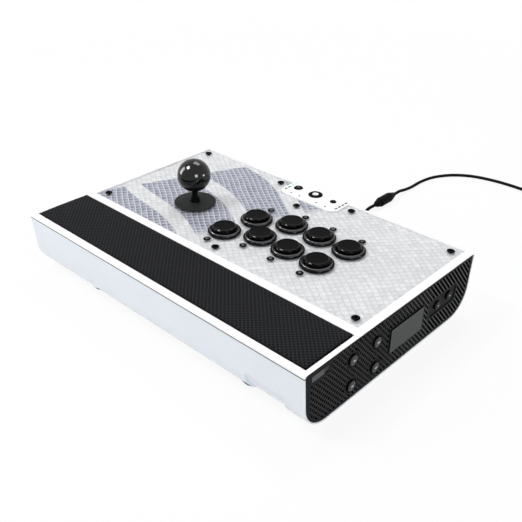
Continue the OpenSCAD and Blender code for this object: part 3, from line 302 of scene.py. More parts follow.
def make_sheet_print():
    """The printed sheet: a raised diamond mesh with generic blue-grey bands on its left part."""
    tree, shader, place, _ = finish("Printed sheet", colours().sheet, 700, 0.02, 0.35, 0.05, 0.2)
    warp, uneven, flecked, contrast, lowest = 0.009, 0.14, 0.3, 0.19, 0.842
    drift = (tree.noise(place, 9, 1) - 0.5) * warp
    cells = tree.lattice(
        tree.vector("ADD", place, tree.xyz(drift, drift)), sizes().mesh_pitch,
        (0.62, 0.9, 0), (0.78, -0.66, 0),
    )
    slope = tree.ramp(cells["Slope"], 0.15, 0.85)
    shade = tree.ramp(cells["Inside"], 0, 0.22) * (slope * 0.5 + 0.55)
    jitter = (cells["Chance"] - 0.5) * uneven
    fleck = (tree.noise(place, 330, 2, 0.6) - 0.5) * flecked
    bright = shade * contrast + fleck + (jitter + lowest)
    # The bands run across the depth with a ripple, and end at two slanting lines
    per_metre, skew, ripple = 14, 0.42, 0.011
    x, y, _ = tree.split(place)
    wave = tree.calc("SINE", x * 26) * ripple
    bands = tree.calc("FRACT", (x * skew + y + wave) * per_metre)
    stripe = tree.ramp(bands, 0.2, 0.22) * tree.ramp(bands, 0.93, 0.95, 1, 0)
    reach = x + y * -0.45
    left = tree.ramp(reach, -0.165, -0.163) * tree.ramp(reach, -0.03, -0.01, 1, 0)
    # In the bands each cell runs from a dark corner to a light one, with pale lines between
    weave = tree.mix(slope * 0.75 + (jitter + fleck) * 2.5, tone(80, 83, 100), tone(214, 216, 226))
    threads = tree.mix(0.4, weave, colours().band)
    inked = tree.mix(tree.ramp(cells["Inside"], 0.03, 0.1), tone(214, 217, 228), threads)
    grey = tree.value("CombineColor", Red=bright, Green=bright, Blue=bright)
    plain = tree.mix(1, colours().sheet, grey, "MULTIPLY")
    tree.feed(shader["Base Color"], tree.mix(stripe * left, plain, inked))
    tree.feed(shader["Normal"], tree.value("Bump", Height=shade, Strength=0.25, Distance=0.0005))


def make_pad_skin():
    """The wrist pad's skin: rows of small dimples in a charcoal grain, darkened in the dimples as
    painted shade, and a dark rolled edge.
    """
    tree, shader, place, grain = finish("Pad skin", colours().pad, 1400, 0.12, 0.6, 0.08, DIM)
    cells = tree.lattice(place, sizes().pad_pitch, (0.7, 0.71, 0), (0.7, -0.71, 0))
    dimple = tree.ramp(cells["Inside"], 0.15, 0.27)
    # Painted shade: the dimples are darkened nearly to black
    skin = tree.mix(dimple * 0.95, colours().pad, tone(1, 1, 1))
    inward = [
        (b - a) / 2 - abs(along - (a + b) / 2)
        for along, a, b in list(zip(tree.split(place), *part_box("wrist_pad")))[:2]
    ]
    edge = tree.ramp(tree.calc("MINIMUM", *inward), 0.0009, 0.0019, 0.9, 0)
    tree.feed(shader["Base Color"], tree.mix(edge, skin, tone(1, 1, 1)))
    tree.feed(shader["Normal"], tree.value(
        "Bump", {"invert": True}, Height=dimple, Strength=0.8, Distance=0.0006, Normal=grain
    ))


# The seam between cover and shell, and the seats of the right feet: middle, radius and top
SEAM_Z = 0.0618
FOOT_PLACE = (0.108, 0.097, 0)
FOOT_RIM = 0.0125
FOOT_RIM_TOP = 0.0066
GROOVE_SLANT = math.radians(41)
GROOVE_PITCH = 0.005 * math.cos(GROOVE_SLANT)
# How far the first groove lies from the origin, across the grooves
GROOVE_FIRST = -0.17857 * math.cos(GROOVE_SLANT) + 0.065 * math.sin(GROOVE_SLANT)
RIB_LEAN = math.radians(45)
# The field of the grooves: its straight limits, and the rounding of its lower corners
FIELD_FRONT = -0.1155
FIELD_TOP = 0.0612
FIELD_ARC = (0.09436, 0.0308, 0.0237)
# Where the ribs end towards the rear
RIB_END = 0.055
# Plain grounds around the controls: middles and half sizes along Y and up Z
GROUND_BOXES = [
    ((0.01519, 0.0334), (0.0272, 0.0147)),
    ((0.074, 0.03399), (0.0244, 0.0098)),
    ((-0.104, 0.0574), (0.0129, 0.0070)),
]
GROUND_RADIUS = 0.0088


def make_panel_skin():
    """The side panels: light ridges and ribs, with painted shade round the grooves so that they
    read as dark holes, and plain grounds.
    """
    tree, shader, place, _ = finish("Panel skin", colours().panel, 1100, 0.1, 0.42, 0.08, 0.02)
    x, y, z = tree.split(place)
    lines = []
    for slant, pitch, shift, inner, outer in (
        (GROOVE_SLANT, GROOVE_PITCH, GROOVE_FIRST / GROOVE_PITCH - 0.5, 0.07, 0.17),
        (-RIB_LEAN, sizes().rib_pitch, 0, 0.1, 0.17),
    ):
        way = (0, math.cos(slant) / pitch, math.sin(slant) / pitch)
        part = tree.calc("FRACT", tree.vector("DOT_PRODUCT", place, way) - shift)
        lines.append(tree.ramp(0.5 - abs(part - 0.5), inner, outer, 1, 0))
    fade = tree.ramp(y, -0.02, RIB_END, 1, 0)
    ridge = tree.calc("MAXIMUM", lines[0], lines[1] * fade)
    arc_y, arc_z, arc_r = FIELD_ARC
    corner = tree.vector("LENGTH", tree.xyz(
        tree.calc("MAXIMUM", abs(y) - arc_y, 0), tree.calc("MAXIMUM", arc_z - z, 0)
    ))
    field = (corner < arc_r) * ((z < FIELD_TOP) * (y > FIELD_FRONT))
    grounds = [
        (abs(y - at_y) < half_y) * (abs(z - at_z) < half_z)
        for (at_y, at_z), (half_y, half_z) in GROUND_BOXES
    ] + [tree.vector("DISTANCE", tree.xyz(y, z), (*key, 0)) < GROUND_RADIUS for key in SIDE_KEYS]
    taken = grounds[0]
    for ground in grounds[1:]:
        taken = tree.calc("MAXIMUM", taken, ground)
    field = field * (1 - taken * (x > 0))
    shade = tree.mix(fade, colours().ridge, tone(53, 54, 55))
    # Painted shade: round the ridge and rib lines the field is near black, widening the grooves
    # into dark holes
    ridges_on_slot_shade = tree.mix(ridge, tone(2, 2, 2), shade)
    tree.feed(shader["Base Color"], tree.mix(field, colours().panel, ridges_on_slot_shade))


def make_cord_jacket():
    """The cord's woven jacket, laid out in the cord's object coordinates."""
    tree, shader, place, grain = finish(
        "Cord jacket", tone(16, 16, 17), 1500, 0.1, 0.5, shine=DIM
    )
    cells = tree.lattice(place, 0.01, (7, 7, 5), (7, -7, 5))
    tree.feed(shader["Normal"], tree.value(
        "Bump", Height=tree.ramp(cells["Inside"], 0.05, 0.4), Strength=0.4, Distance=0.0003,
        Normal=grain,
    ))


def make_seam_shaded(name, base, depth, rough):
    """A moulded finish with painted shade along the seam between the cover and the shell."""
    tree, shader, place, _ = finish(name, base, 1200, depth, rough, 0.05, 0.3)
    x, y, z = tree.split(place)
    # Painted shade: a dark line along the seam, where the gap between cover and shell lies in shade
    seam = tree.ramp(abs(z - SEAM_Z), 0.0004, 0.00065, 0.98, 0)
    # The rims of the right feet's seats are as dark as the feet
    away = tree.vector("DISTANCE", tree.xyz(x, abs(y)), FOOT_PLACE)
    seat = (away < FOOT_RIM) * (z < FOOT_RIM_TOP)
    plain = shader["Base Color"].links[0].from_socket
    seam_shaded = tree.mix(seam, plain, tone(22, 23, 25))
    tree.feed(shader["Base Color"], tree.mix(seat, seam_shaded, tone(2, 2, 2)))


def make_materials():
    """Makes the groups and every material of the part."""
    make_grain()
    make_lattice()
    make_sheet_print()
    make_pad_skin()
    make_panel_skin()
    make_cord_jacket()
    make_seam_shaded("White cover", colours().cover, 0.03, 0.34)
    make_seam_shaded("Pale shell", colours().shell, 0.04, 0.42)
    # Each finish: its colour, the scale and depth of its grain, its roughness and how far
    # that varies, and its specular level
    finish("Button gloss", colours().black, 500, 0.01, 0.08, 0.03, 0.07)
    # Painted highlight: a light-grey ring on the buttons' rounded rims
    finish("Button rim", tone(96, 97, 100), 500, 0.01, 0.12, 0.03, 0.3)
    finish("Button top", tone(9, 9, 10), 1100, 0.03, 0.24, 0.06, 0.02)
    finish("Ball gloss", tone(13, 14, 15), 300, 0.002, 0.05, 0.02, 0.3)
    finish("Black satin", tone(14, 14, 15), 1300, 0.08, 0.42, 0.08, DIM)
    finish("Washer skin", tone(47, 49, 49), 900, 0.06, 0.5, 0.1, DIM)
    finish("Black screw", tone(4, 4, 5), 1500, 0.05, 0.4, 0.08, 0.02)
    finish("Socket dark", tone(2, 2, 2), 900, 0.05, 0.6, 0.05, 0)
    # Painted shade for the floors and walls of the panels' grooves
    finish("Groove dark", tone(3, 3, 3), 900, 0.05, 0.8, 0.05, 0)
    finish("Panel rib", tone(58, 59, 60), 1100, 0.1, 0.45, 0.08, 0.02)
    finish("Window floor", tone(66, 67, 68), 1100, 0.08, 0.45, 0.08, DIM)
    finish("Mark grey", tone(150, 152, 156), 900, 0.02, 0.4, 0.05, DIM)
    finish("Mark light", tone(236, 237, 240), 900, 0.02, 0.35, 0.05)
    finish("Key plastic", colours().key, 900, 0.04, 0.3, 0.06, 0.1)
    finish("Switch cap", tone(91, 92, 94), 900, 0.05, 0.4, 0.06, DIM)
    finish("Screen", colours().screen, 300, 0.005, 0.2, 0.03, DIM)
    finish("Light off", tone(6, 6, 7), 500, 0.02, 0.4, 0.05, 0)
    finish("Light on", tone(120, 222, 190), 500, 0.02, 0.3, 0.05,
           Emission_Color=tone(90, 235, 190), Emission_Strength=0.35)
    finish("Bare steel", tone(150, 152, 155), 300, 0.06, 0.4, 0.15, Metallic=1)
    finish("Bright steel", tone(206, 207, 210), 300, 0.02, 0.2, 0.08, Metallic=1)
    finish("Inner plastic", tone(40, 40, 43), 1000, 0.08, 0.5, 0.08)
    finish("Pale plastic", tone(205, 203, 194), 1000, 0.06, 0.45, 0.06)
    finish("Circuit board", tone(22, 92, 50), 600, 0.05, 0.4, 0.08)
    finish("Foot rubber", tone(14, 14, 14), 1300, 0.2, 0.7, 0.08, DIM)
    finish("Clear acrylic", tone(238, 242, 248), 200, 0, 0.05, 0.02, Alpha=0.03)


# Mesh helpers

def added(name, data):
    """A new object of the scene."""
    made = bpy.data.objects.new(name, data)
    bpy.context.scene.collection.objects.link(made)
    return made


def placed(bm, name, material, replaces="", body="case", bevel=0.0, smooth=SMOOTH_ANGLE):
    """Turns a bmesh or several, in metres and in place, into a finished piece on its body."""
    bm = joined(bm) if isinstance(bm, list) else bm
    for face in bm.faces:
        face.smooth = True
    for edge in bm.edges:
        if len(edge.link_faces) == 2:
            edge.smooth = edge.calc_face_angle(0.0) < smooth
    mesh = bpy.data.meshes.new(name)
    bm.to_mesh(mesh)
    bm.free()
    piece = added(name, mesh)
    for each in [material] if isinstance(material, str) else material:
        mesh.materials.append(bpy.data.materials[each])
    if bevel:
        made = piece.modifiers.new("Edge rounding", "BEVEL")
        made.width = bevel
        made.segments = 2
        made.limit_method = "ANGLE"
        made.angle_limit = SMOOTH_ANGLE
        made.harden_normals = True
        made.use_clamp_overlap = True
    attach(piece, body)
    if replaces:
        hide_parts(replaces)
    return piece


def merged(node, flat=False):
    """A merged copy of a CAD node's mesh; its flat faces are joined up unless flat is set."""
    bm = bmesh.new()
    bm.from_mesh(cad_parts[node].data)
    bmesh.ops.remove_doubles(bm, verts=bm.verts, dist=2e-6)
    if not flat:
        bmesh.ops.dissolve_limit(
            bm, angle_limit=math.radians(0.3), verts=bm.verts, edges=bm.edges,
            use_dissolve_boundaries=False, delimit=set(),
        )
    return bm


def rounded(points, steps=4):
    """A profile of (radius, height) or (radius, height, fillet) in mm, with its arcs put in."""
    made = []
    for k, (r, z, *fillet) in enumerate(points):
        here = Vector((r, z))
        if not any(fillet) or k in (0, len(points) - 1):
            made.append(here)
            continue
        before = (Vector(points[k - 1][:2]) - here).normalized()
        after = (Vector(points[k + 1][:2]) - here).normalized()
        half = before.angle(after) / 2
        reach = fillet[0] / math.tan(half)
        centre = here + (before + after).normalized() * (fillet[0] / math.sin(half))
        start = here + before * reach - centre
        turn = start.angle_signed(here + after * reach - centre)
        for j in range(steps + 1):
            a = -turn * j / steps
            made.append(centre + Vector((
                start.x * math.cos(a) - start.y * math.sin(a),
                start.x * math.sin(a) + start.y * math.cos(a),
            )))
    return made


def turned(points, at, steps, axis="Z", closed=False):
    """A piece turned on a lathe: a profile in mm spun about an axis through a place in metres."""
    outline = rounded(points)
    bm = bmesh.new()
    ring = [bm.verts.new((p.x * MM, 0.0, p.y * MM)) for p in outline]
    edges = [bm.edges.new(pair) for pair in zip(ring, ring[1:])]
    if closed:
        edges.append(bm.edges.new((ring[-1], ring[0])))
    bmesh.ops.spin(
        bm, geom=ring + edges, cent=(0, 0, 0), axis=(0, 0, 1), angle=math.tau, steps=steps,
        use_merge=True,
    )
    bmesh.ops.remove_doubles(bm, verts=bm.verts, dist=1e-7)
    bmesh.ops.recalc_face_normals(bm, faces=bm.faces)
    turn = {
        "Z": Matrix.Identity(4),
        "X": Matrix.Rotation(math.radians(90), 4, "Y"),
        "Y": Matrix.Rotation(math.radians(-90), 4, "X"),
    }[axis]
    bmesh.ops.transform(bm, matrix=Matrix.Translation(at) @ turn, verts=bm.verts)
    return bm


def block(low, high, edge=0.0, segments=2):
    """A block between two corners in mm, with its edges rounded."""
    bm = bmesh.new()
    bmesh.ops.create_cube(bm, size=1.0)
    size = [(b - a) * MM for a, b in zip(low, high)]
    middle = [(a + b) / 2 * MM for a, b in zip(low, high)]
    bmesh.ops.scale(bm, vec=size, verts=bm.verts)
    bmesh.ops.translate(bm, vec=middle, verts=bm.verts)
    if edge:
        bmesh.ops.bevel(
            bm, geom=bm.edges[:], offset=edge * MM, segments=segments, profile=0.5,
            affect="EDGES", material=-1,
        )
    return bm


def joined(parts):
    """Several bmeshes as one."""
    whole = bmesh.new()
    for bm in parts:
        mesh = bpy.data.meshes.new("part")
        bm.to_mesh(mesh)
        bm.free()
        whole.from_mesh(mesh)
        bpy.data.meshes.remove(mesh)
    return whole


def paint(bm, index, test=lambda middle: True):
    """Gives the faces whose middle passes the test the material of that index."""
    for face in bm.faces:
        if test(face.calc_center_median()):
            face.material_index = index
    return bm


def middle(node):
    low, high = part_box(node)
    return [(a + b) / 2 for a, b in zip(low, high)]


def heights(node):
    """The lower and the upper end of a node, in mm."""
    low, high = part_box(node)
    return low[2] / MM, high[2] / MM


# Places on the object, in metres

FACE_Z = 0.0653
COVER_Z = 0.065
STICK = middle("lever_shaft")[:2]
BUTTONS = [middle("plunger_%d" % k)[:2] for k in range(1, 9)]
SIDE_KEYS = [middle("side_button_%d" % k)[1:] for k in range(1, 5)]
# The face of a side panel, the floor of its grooves, and the middle of the ball top
PANEL_X = 0.1857
GROOVE_X = 0.1851
BALL_Z = 0.097

# The routes of the cord on both sides of the barrel and after the coil, in mm
CORD_NEAR = [
    (-5, 140, 26), (-5, 146, 26), (-5, 152, 26), (-5, 164, 22), (-5, 176, 14), (-5, 190, 6),
    (-5, 203, 3), (-5, 214, 4), (-5, 224, 6.2), (-5, 231, 6.2), (-5, 237, 6.2),
]
CORD_FAR = [
    (-5, 277, 6.2), (-5, 283, 6.2), (-5, 290, 6.2), (-5, 302, 4), (-5, 318, 2.4),
    (-5, 340, 2.4), (0, 364, 2.4), (14, 386, 2.4), (34, 401, 2.4), (58, 408, 2.6),
    (82, 410, 3), (108, 410, 3), (116, 410, 3), (125, 410, 3),
]
CORD_TAIL = [
    (130, 475.6, 18), (116, 477, 15), (102, 484, 9), (96, 496, 5), (102, 508, 4.2),
    (114, 512, 4.2), (126, 512, 4.2), (132, 512, 4.2), (138, 512, 4.2),
]


def smooth_line(points, steps=3):
    """The points of a smooth line through the given ones."""
    p = [Vector(q) for q in points]
    made = []
    for k in range(len(p) - 1):
        a, b, c, d = p[max(k - 1, 0)], p[k], p[k + 1], p[min(k + 2, len(p) - 1)]
        for j in range(steps):
            t = j / steps
            made.append(b + t * (c - a) / 2 + t * t * (a - 2.5 * b + 2 * c - d / 2)
                        + t ** 3 * (-a + 3 * b - 3 * c + d) / 2)
    return made + [p[-1]]


def coil_line():
    """The wound part of the cord: it spirals in and out, and climbs where it turns back."""
    x, y, z, radius, pitch = 135, 442.75, 3, 32.75, 5
    layers, sweep, climb, rings = 4, 3.5, 0.5, 24
    step = sweep + climb
    turns = layers * sweep + (layers - 1) * climb
    made = []
    for k in range(int(rings * turns) + 1):
        u = k / rings
        n = min(int(u / step), layers - 1)
        v = u - n * step
        inward = min(v, sweep) * pitch
        r = radius - (inward if n % 2 == 0 else sweep * pitch - inward)
        up = z + (n + max(v - sweep, 0) / climb) * pitch
        turn = math.tau * u
        made.append(Vector((x + r * math.sin(turn), y - r * math.cos(turn), up)))
    return made


def cord_piece(name, line, *nodes):
    """A round cord along a line of points in mm, as a curve of one open spline."""
    curve = bpy.data.curves.new(name, "CURVE")
    curve.dimensions = "3D"
    spline = curve.splines.new("POLY")
    spline.points.add(len(line) - 1)
    for point, place in zip(spline.points, line):
        point.co = (place.x * MM, place.y * MM, place.z * MM, 1.0)
    spline.use_smooth = True
    curve.bevel_depth = sizes().cord_width / 2
    curve.bevel_resolution = 3
    curve.use_fill_caps = True
    curve.materials.append(bpy.data.materials["Cord jacket"])
    piece = added(name, curve)
    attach(piece, "case")
    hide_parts(*nodes)
    return piece


def line_length(line):
    return sum((b - a).length for a, b in zip(line, line[1:])) * MM


class StickOperator(bpy.types.Operator):
    """What the operators share: each one makes its pieces in its own make()."""
    bl_options = {"REGISTER", "UNDO"}

    def execute(self, context):
        self.make(context)
        return {"FINISHED"}


class STICK_OT_camera(StickOperator):
    """Sets the camera at the viewing angle of the product shot."""
    bl_idname = "stick.camera"
    bl_label = "Camera"

    def make(self, context):
        view = context.scene.stick_view
        data = bpy.data.cameras.new("Camera")
        data.lens = view.lens
        data.sensor_width = 36.0
        data.clip_start = 0.01
        data.clip_end = 20.0
        camera = added("Camera", data)
        camera.matrix_world = (
            Matrix.Translation(view.place)
            @ Matrix.Rotation(view.yaw, 4, "Z")
            @ Matrix.Rotation(math.pi / 2 - view.pitch, 4, "X")
            @ Matrix.Rotation(view.roll, 4, "Z")
        )
        context.scene.camera = camera


class STICK_OT_cord(StickOperator):
    """Makes the materials and lays the cord with its barrel, relief, tie and plug."""
    bl_idname = "stick.cord"
    bl_label = "Cord"

    def make(self, context):
        make_materials()
        near = smooth_line(CORD_NEAR)
        far = (smooth_line(CORD_FAR)[:-1] + [Vector(CORD_FAR[-1])] + coil_line()
               + smooth_line(CORD_TAIL))
        first = cord_piece("cord_near", near, "cord")
        second = cord_piece("cord_far", far, "cord", "cord_coil")
        for piece, line, start, end, lay, pieces in (
            (first, near, CORD_NEAR[0], "fitting", "loose", [self.barrel(), self.gland()]),
            (second, far, CORD_FAR[0], "plug", "coiled", [self.plug(), self.tie()]),
        ):
            [c * MM for c in start]
            line_length(line)

    def tie(self):
        bm = merged("cord_tie")
        return placed(bm, "tie_strap", "Black satin", "cord_tie", bevel=0.0002)

    def barrel(self):
        points = [(0, 0), (2.7, 0, 0.3), (3.1, 1.2, 0.2), (3.0, 1.8, 0.2), (3.7, 2.2, 0.2),
                  (3.9, 3.4, 0.2), (3.5, 3.9, 0.2), (4.4, 4.3, 0.2), (4.7, 6.2, 0.2),
                  (4.0, 6.6, 0.2), (4.0, 7.9, 0.2), (5.4, 8.2, 0.3), (6.0, 9.8, 0.6),
                  (6.0, 28.5, 1.0), (5.4, 31.0, 0.6), (3.3, 38.2, 0.8), (2.7, 40, 0.3),
                  (0, 40)]
        bm = turned(points, [c * MM for c in CORD_NEAR[-1]], 48, "Y")
        return placed(bm, "barrel_sleeve", "Black satin", "cord_barrel")

    def gland(self):
        low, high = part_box("cord_gland")
        x, _, z = middle("cord_gland")
        depth = (high[1] - low[1]) / MM
        points = [(0, 0), (4, 0, 0.3), (5.3, 2, 0.3), (4, 2, 0.2), (4, 5.8, 0.2),
                  (6, 5.8, 0.3), (6, 9.2, 0.8), (4.4, 11.2, 0.4)]
        ribs = 5
        run = (depth - 12.5) / ribs
        for k in range(ribs):
            r = 4.2 - 1.2 * k / ribs
            y = 11.6 + run * k
            points += [(r, y + 0.2 * run, 0.2), (r, y + 0.62 * run, 0.2),
                       (r - 0.7, y + 0.7 * run, 0.1), (r - 0.7, y + 0.98 * run, 0.1)]
        points += [(2.9, depth - 0.7, 0.2), (2.6, depth, 0.2), (0, depth)]
        bm = turned(points, (x, low[1], z), 48, "Y")
        return placed(bm, "strain_relief", "Black satin", "cord_gland")

    def plug(self):
        x, y, z = CORD_TAIL[-1]
        relief = turned(
            [(0, 0), (2.3, 0, 0.3), (2.5, 2, 0.2), (2.2, 2.6, 0.2), (2.7, 3.0, 0.2),
             (2.8, 5, 0.2), (2.4, 5.6, 0.2), (3.0, 6, 0.2), (3.0, 9.5), (0, 9.5)],
            (x * MM, y * MM, z * MM), 32, "X",
        )
        grip = block((x + 9, y - 7.5, z - 4), (x + 37, y + 7.5, z + 4), 1.4, 3)
        shell = block((x + 36, y - 6, z - 2.25), (x + 51, y + 6, z + 2.25), 0.3)
        # A near-black plate in the mouth of the plug's shell, above the tongue: painted shade in
        # the opening
        opening_shade = block((x + 50.6, y - 5.4, z - 0.2), (x + 51.04, y + 5.4, z + 1.7), 0.05)
        tongue = block((x + 50.6, y - 5.2, z - 1.7), (x + 51.03, y + 5.2, z - 0.3), 0.05)
        for bm, index in ((shell, 1), (opening_shade, 2), (tongue, 3)):
            paint(bm, index)
        return placed(
            [relief, grip, shell, opening_shade, tongue], "plug_body",
            ["Black satin", "Bright steel", "Socket dark", "Mark light"], "plug",
        )


class STICK_OT_case(StickOperator):
    """Finishes the cover, the shell, the side panels and the feet."""
    bl_idname = "stick.case"
    bl_label = "Case"

    def make(self, context):
        edge = sizes().edge_round
        # Where the floor of the mode switch's window lies
        floor_x, floor_y, window, reach = 0.184, -0.09, (0.1847, 0.0556), 0.003
        placed(merged("top_cover"), "cover", "White cover", "top_cover", bevel=edge)
        placed(merged("lower_shell"), "shell", "Pale shell", "lower_shell",
               bevel=edge * 0.7)
        for side, sign in (("left", -1), ("right", 1)):
            bm = merged(side + "_side_panel")
            # The grooves' floors and walls take a near-black material: painted shade in the slots
            paint(bm, 1, lambda c: GROOVE_X - SLACK < abs(c.x) < PANEL_X - SLACK / 2
                  and self.in_field(c.y, c.z, sign, 0.0, 1.0))
            paint(bm, 2, lambda c: c.x > floor_x and c.y < floor_y
                  and math.dist((c.x, c.z), window) < reach)
            placed(bm, side + "_panel", ["Panel skin", "Groove dark", "Window floor"],
                   side + "_side_panel", bevel=0.00012)
            placed(self.ribs(sign), side + "_ribs", "Panel rib")
        self.feet()

    def ribs(self, sign):
        """Short bars across the grooves of one panel; they sink and end towards the rear."""
        turn = GROOVE_SLANT + RIB_LEAN
        pitch = sizes().rib_pitch
        margin, wide, long, below, root = 0.0009, 0.001, 0.0019, 0.0002, 0.00005
        sink, sink_start, sink_run = 0.00035, 0.01, 0.045
        bm = bmesh.new()
        for k in range(100):
            a = GROOVE_FIRST + k * GROOVE_PITCH
            for j in range(-60, 40):
                b = j * pitch
                y = (a * math.sin(RIB_LEAN) + b * math.sin(GROOVE_SLANT)) / math.sin(turn)
                z = (a * math.cos(RIB_LEAN) - b * math.cos(GROOVE_SLANT)) / math.sin(turn)
                if not self.in_field(y, z, sign, margin, RIB_END):
                    continue
                top = PANEL_X - below - sink * min(max((y - sink_start) / sink_run, 0), 1)
                size = (top - GROOVE_X + root, wide, long)
                bmesh.ops.create_cube(bm, size=1.0, matrix=(
                    Matrix.Translation((sign * (top - size[0] / 2), y, z))
                    @ Matrix.Rotation(-RIB_LEAN, 4, "X") @ Matrix.Diagonal((*size, 1.0))
                ))
        return bm

    def in_field(self, y, z, sign, margin, rear):
        """Whether a place up to the given rear end lies in the grooves, clear of the controls."""
        arc_y, arc_z, arc_r = FIELD_ARC
        corner = math.hypot(max(abs(y) - arc_y, 0), max(arc_z - z, 0))
        if corner > arc_r - margin or z > FIELD_TOP - margin:
            return False
        if not FIELD_FRONT + margin < y < rear:
            return False
        if sign < 0:
            return True
        for (at_y, at_z), (half_y, half_z) in GROUND_BOXES:
            if abs(y - at_y) < half_y + margin and abs(z - at_z) < half_z + margin:
                return False
        return all(math.dist((y, z), key) > GROUND_RADIUS + margin for key in SIDE_KEYS)

    def feet(self):
        low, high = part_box("rubber_feet")
        r = 0.010
        parts = []
        for x in (low[0] + r, high[0] - r):
            for y in (low[1] + r, high[1] - r):
                parts.append(turned(
                    [(0, 0), (7.6, 0, 0.2), (7.9, 0.5, 0.2), (8.6, 0.5, 0.2), (9, 0, 0.2),
                     (10, 0, 0.7), (10, 4.2, 0.2), (0, 4.2)], (x, y, low[2]), 48,
                ))
        placed(parts, "feet", "Foot rubber", "rubber_feet")


class STICK_OT_pad(StickOperator):
    """Shapes the padded wrist rest with its crown and drawn-in sides."""
    bl_idname = "stick.pad"
    bl_label = "Wrist pad"

    def make(self, context):
        low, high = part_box("wrist_pad")
        w, d = high[0] - low[0], high[1] - low[1]
        centre = middle("wrist_pad")[:2]
        corner, roll = 0.003, 0.0045
        # The crown rises in the rolled edge and swells on towards the middle
        rise, swell = sizes().pad_crown * 0.7, sizes().pad_crown * 0.3
        bm = bmesh.new()
        bmesh.ops.create_grid(bm, x_segments=180, y_segments=44, size=0.5)
        for v in bm.verts:
            x, y = v.co.x * w, v.co.y * d
            cx, cy = max(abs(x) - (w / 2 - corner), 0), max(abs(y) - (d / 2 - corner), 0)
            if cx and cy:
                pull = max(cx, cy) / math.hypot(cx, cy)
                x = math.copysign(w / 2 - corner + cx * pull, x)
                y = math.copysign(d / 2 - corner + cy * pull, y)
            edge = max(min(w / 2 - abs(x), d / 2 - abs(y)), 0.0)
            near = 1 - min(edge / roll, 1.0)
            crown = rise * math.sqrt(1 - near * near) + swell * (1 - (2 * y / d) ** 2)
            v.co = (x, y, COVER_Z + crown)
        rim = [e for e in bm.edges if e.is_boundary]
        for drop, pull in ((0.0003, 1.0), (0.0012, 0.9985), (COVER_Z - low[2], 0.996)):
            made = bmesh.ops.extrude_edge_only(bm, edges=rim)["geom"]
            verts = [g for g in made if isinstance(g, bmesh.types.BMVert)]
            for v in verts:
                v.co.x *= pull
                v.co.y *= pull
                v.co.z = COVER_Z - drop
            rim = [g for g in made if isinstance(g, bmesh.types.BMEdge) and g.is_boundary]
        bmesh.ops.contextual_create(bm, geom=rim)
        bmesh.ops.recalc_face_normals(bm, faces=bm.faces)
        bmesh.ops.translate(bm, vec=(*centre, 0), verts=bm.verts)
        pad = placed(bm, "wrist_rest", "Pad skin", "wrist_pad", smooth=math.radians(60))


class STICK_OT_faceplate(StickOperator):
    """Finishes the acrylic, the printed sheet, the screws and the small discs."""
    bl_idname = "stick.faceplate"
    bl_label = "Faceplate"

    def make(self, context):
        placed(merged("acrylic_cover", True), "acrylic", "Clear acrylic",
               "acrylic_cover")
        placed(merged("printed_sheet", True), "sheet", "Printed sheet", "printed_sheet")
        self.screws()
        self.discs()

    def screws(self):
        parts = []
        places = [(x, -38.4) for x in (-168.2, 0, 168.2)]
        places += [(x, 110.9) for x in (-168.2, -49.6, 49.6, 168.2)] + [(0, 80.3)]
        for x, y in places:
            at = (x * MM, y * MM, FACE_Z)
            parts.append(turned(
                [(1.5, 0.1), (1.5, 0.55, 0.1), (3.6, 0.6, 0.2), (3.9, 0.35, 0.1), (3.9, 0),
                 (1.3, 0), (1.3, -7), (0, -7)], at, 40,
            ))
            # The floor of each screw's socket is a near-black disc: painted shade in the recess
            parts.append(paint(turned([(0, 0.1), (1.5, 0.1)], at, 6), 1))
        placed(parts, "plate_screws", ["Black screw", "Socket dark"],
               "faceplate_screws")

    def discs(self):
        parts = []
        for k, (x, y) in enumerate(BUTTONS):
            # The discs of the rear row lie behind their buttons, those of the front row before them
            right, back = (-3.3, 25.7) if k == 0 else (-1, 22.9 if k < 4 else -22.9)
            at = (x + right * MM, y + back * MM, FACE_Z)
            profile = [(0, 0.5), (3.4, 0.5, 0.1), (3.7, 0.3, 0.1), (3.7, 0), (0, 0)]
            parts.append(turned(profile, at, 36))
            inner = 0.7 if k % 2 else 1.0
            outer = inner + 0.5
            profile = [(inner, 0.5), (inner, 0.53), (outer, 0.53), (outer, 0.5)]
            parts.append(paint(turned(profile, at, 28, closed=True), 1))
        placed(parts, "button_discs", ["Black screw", "Mark grey"], "icon_discs")


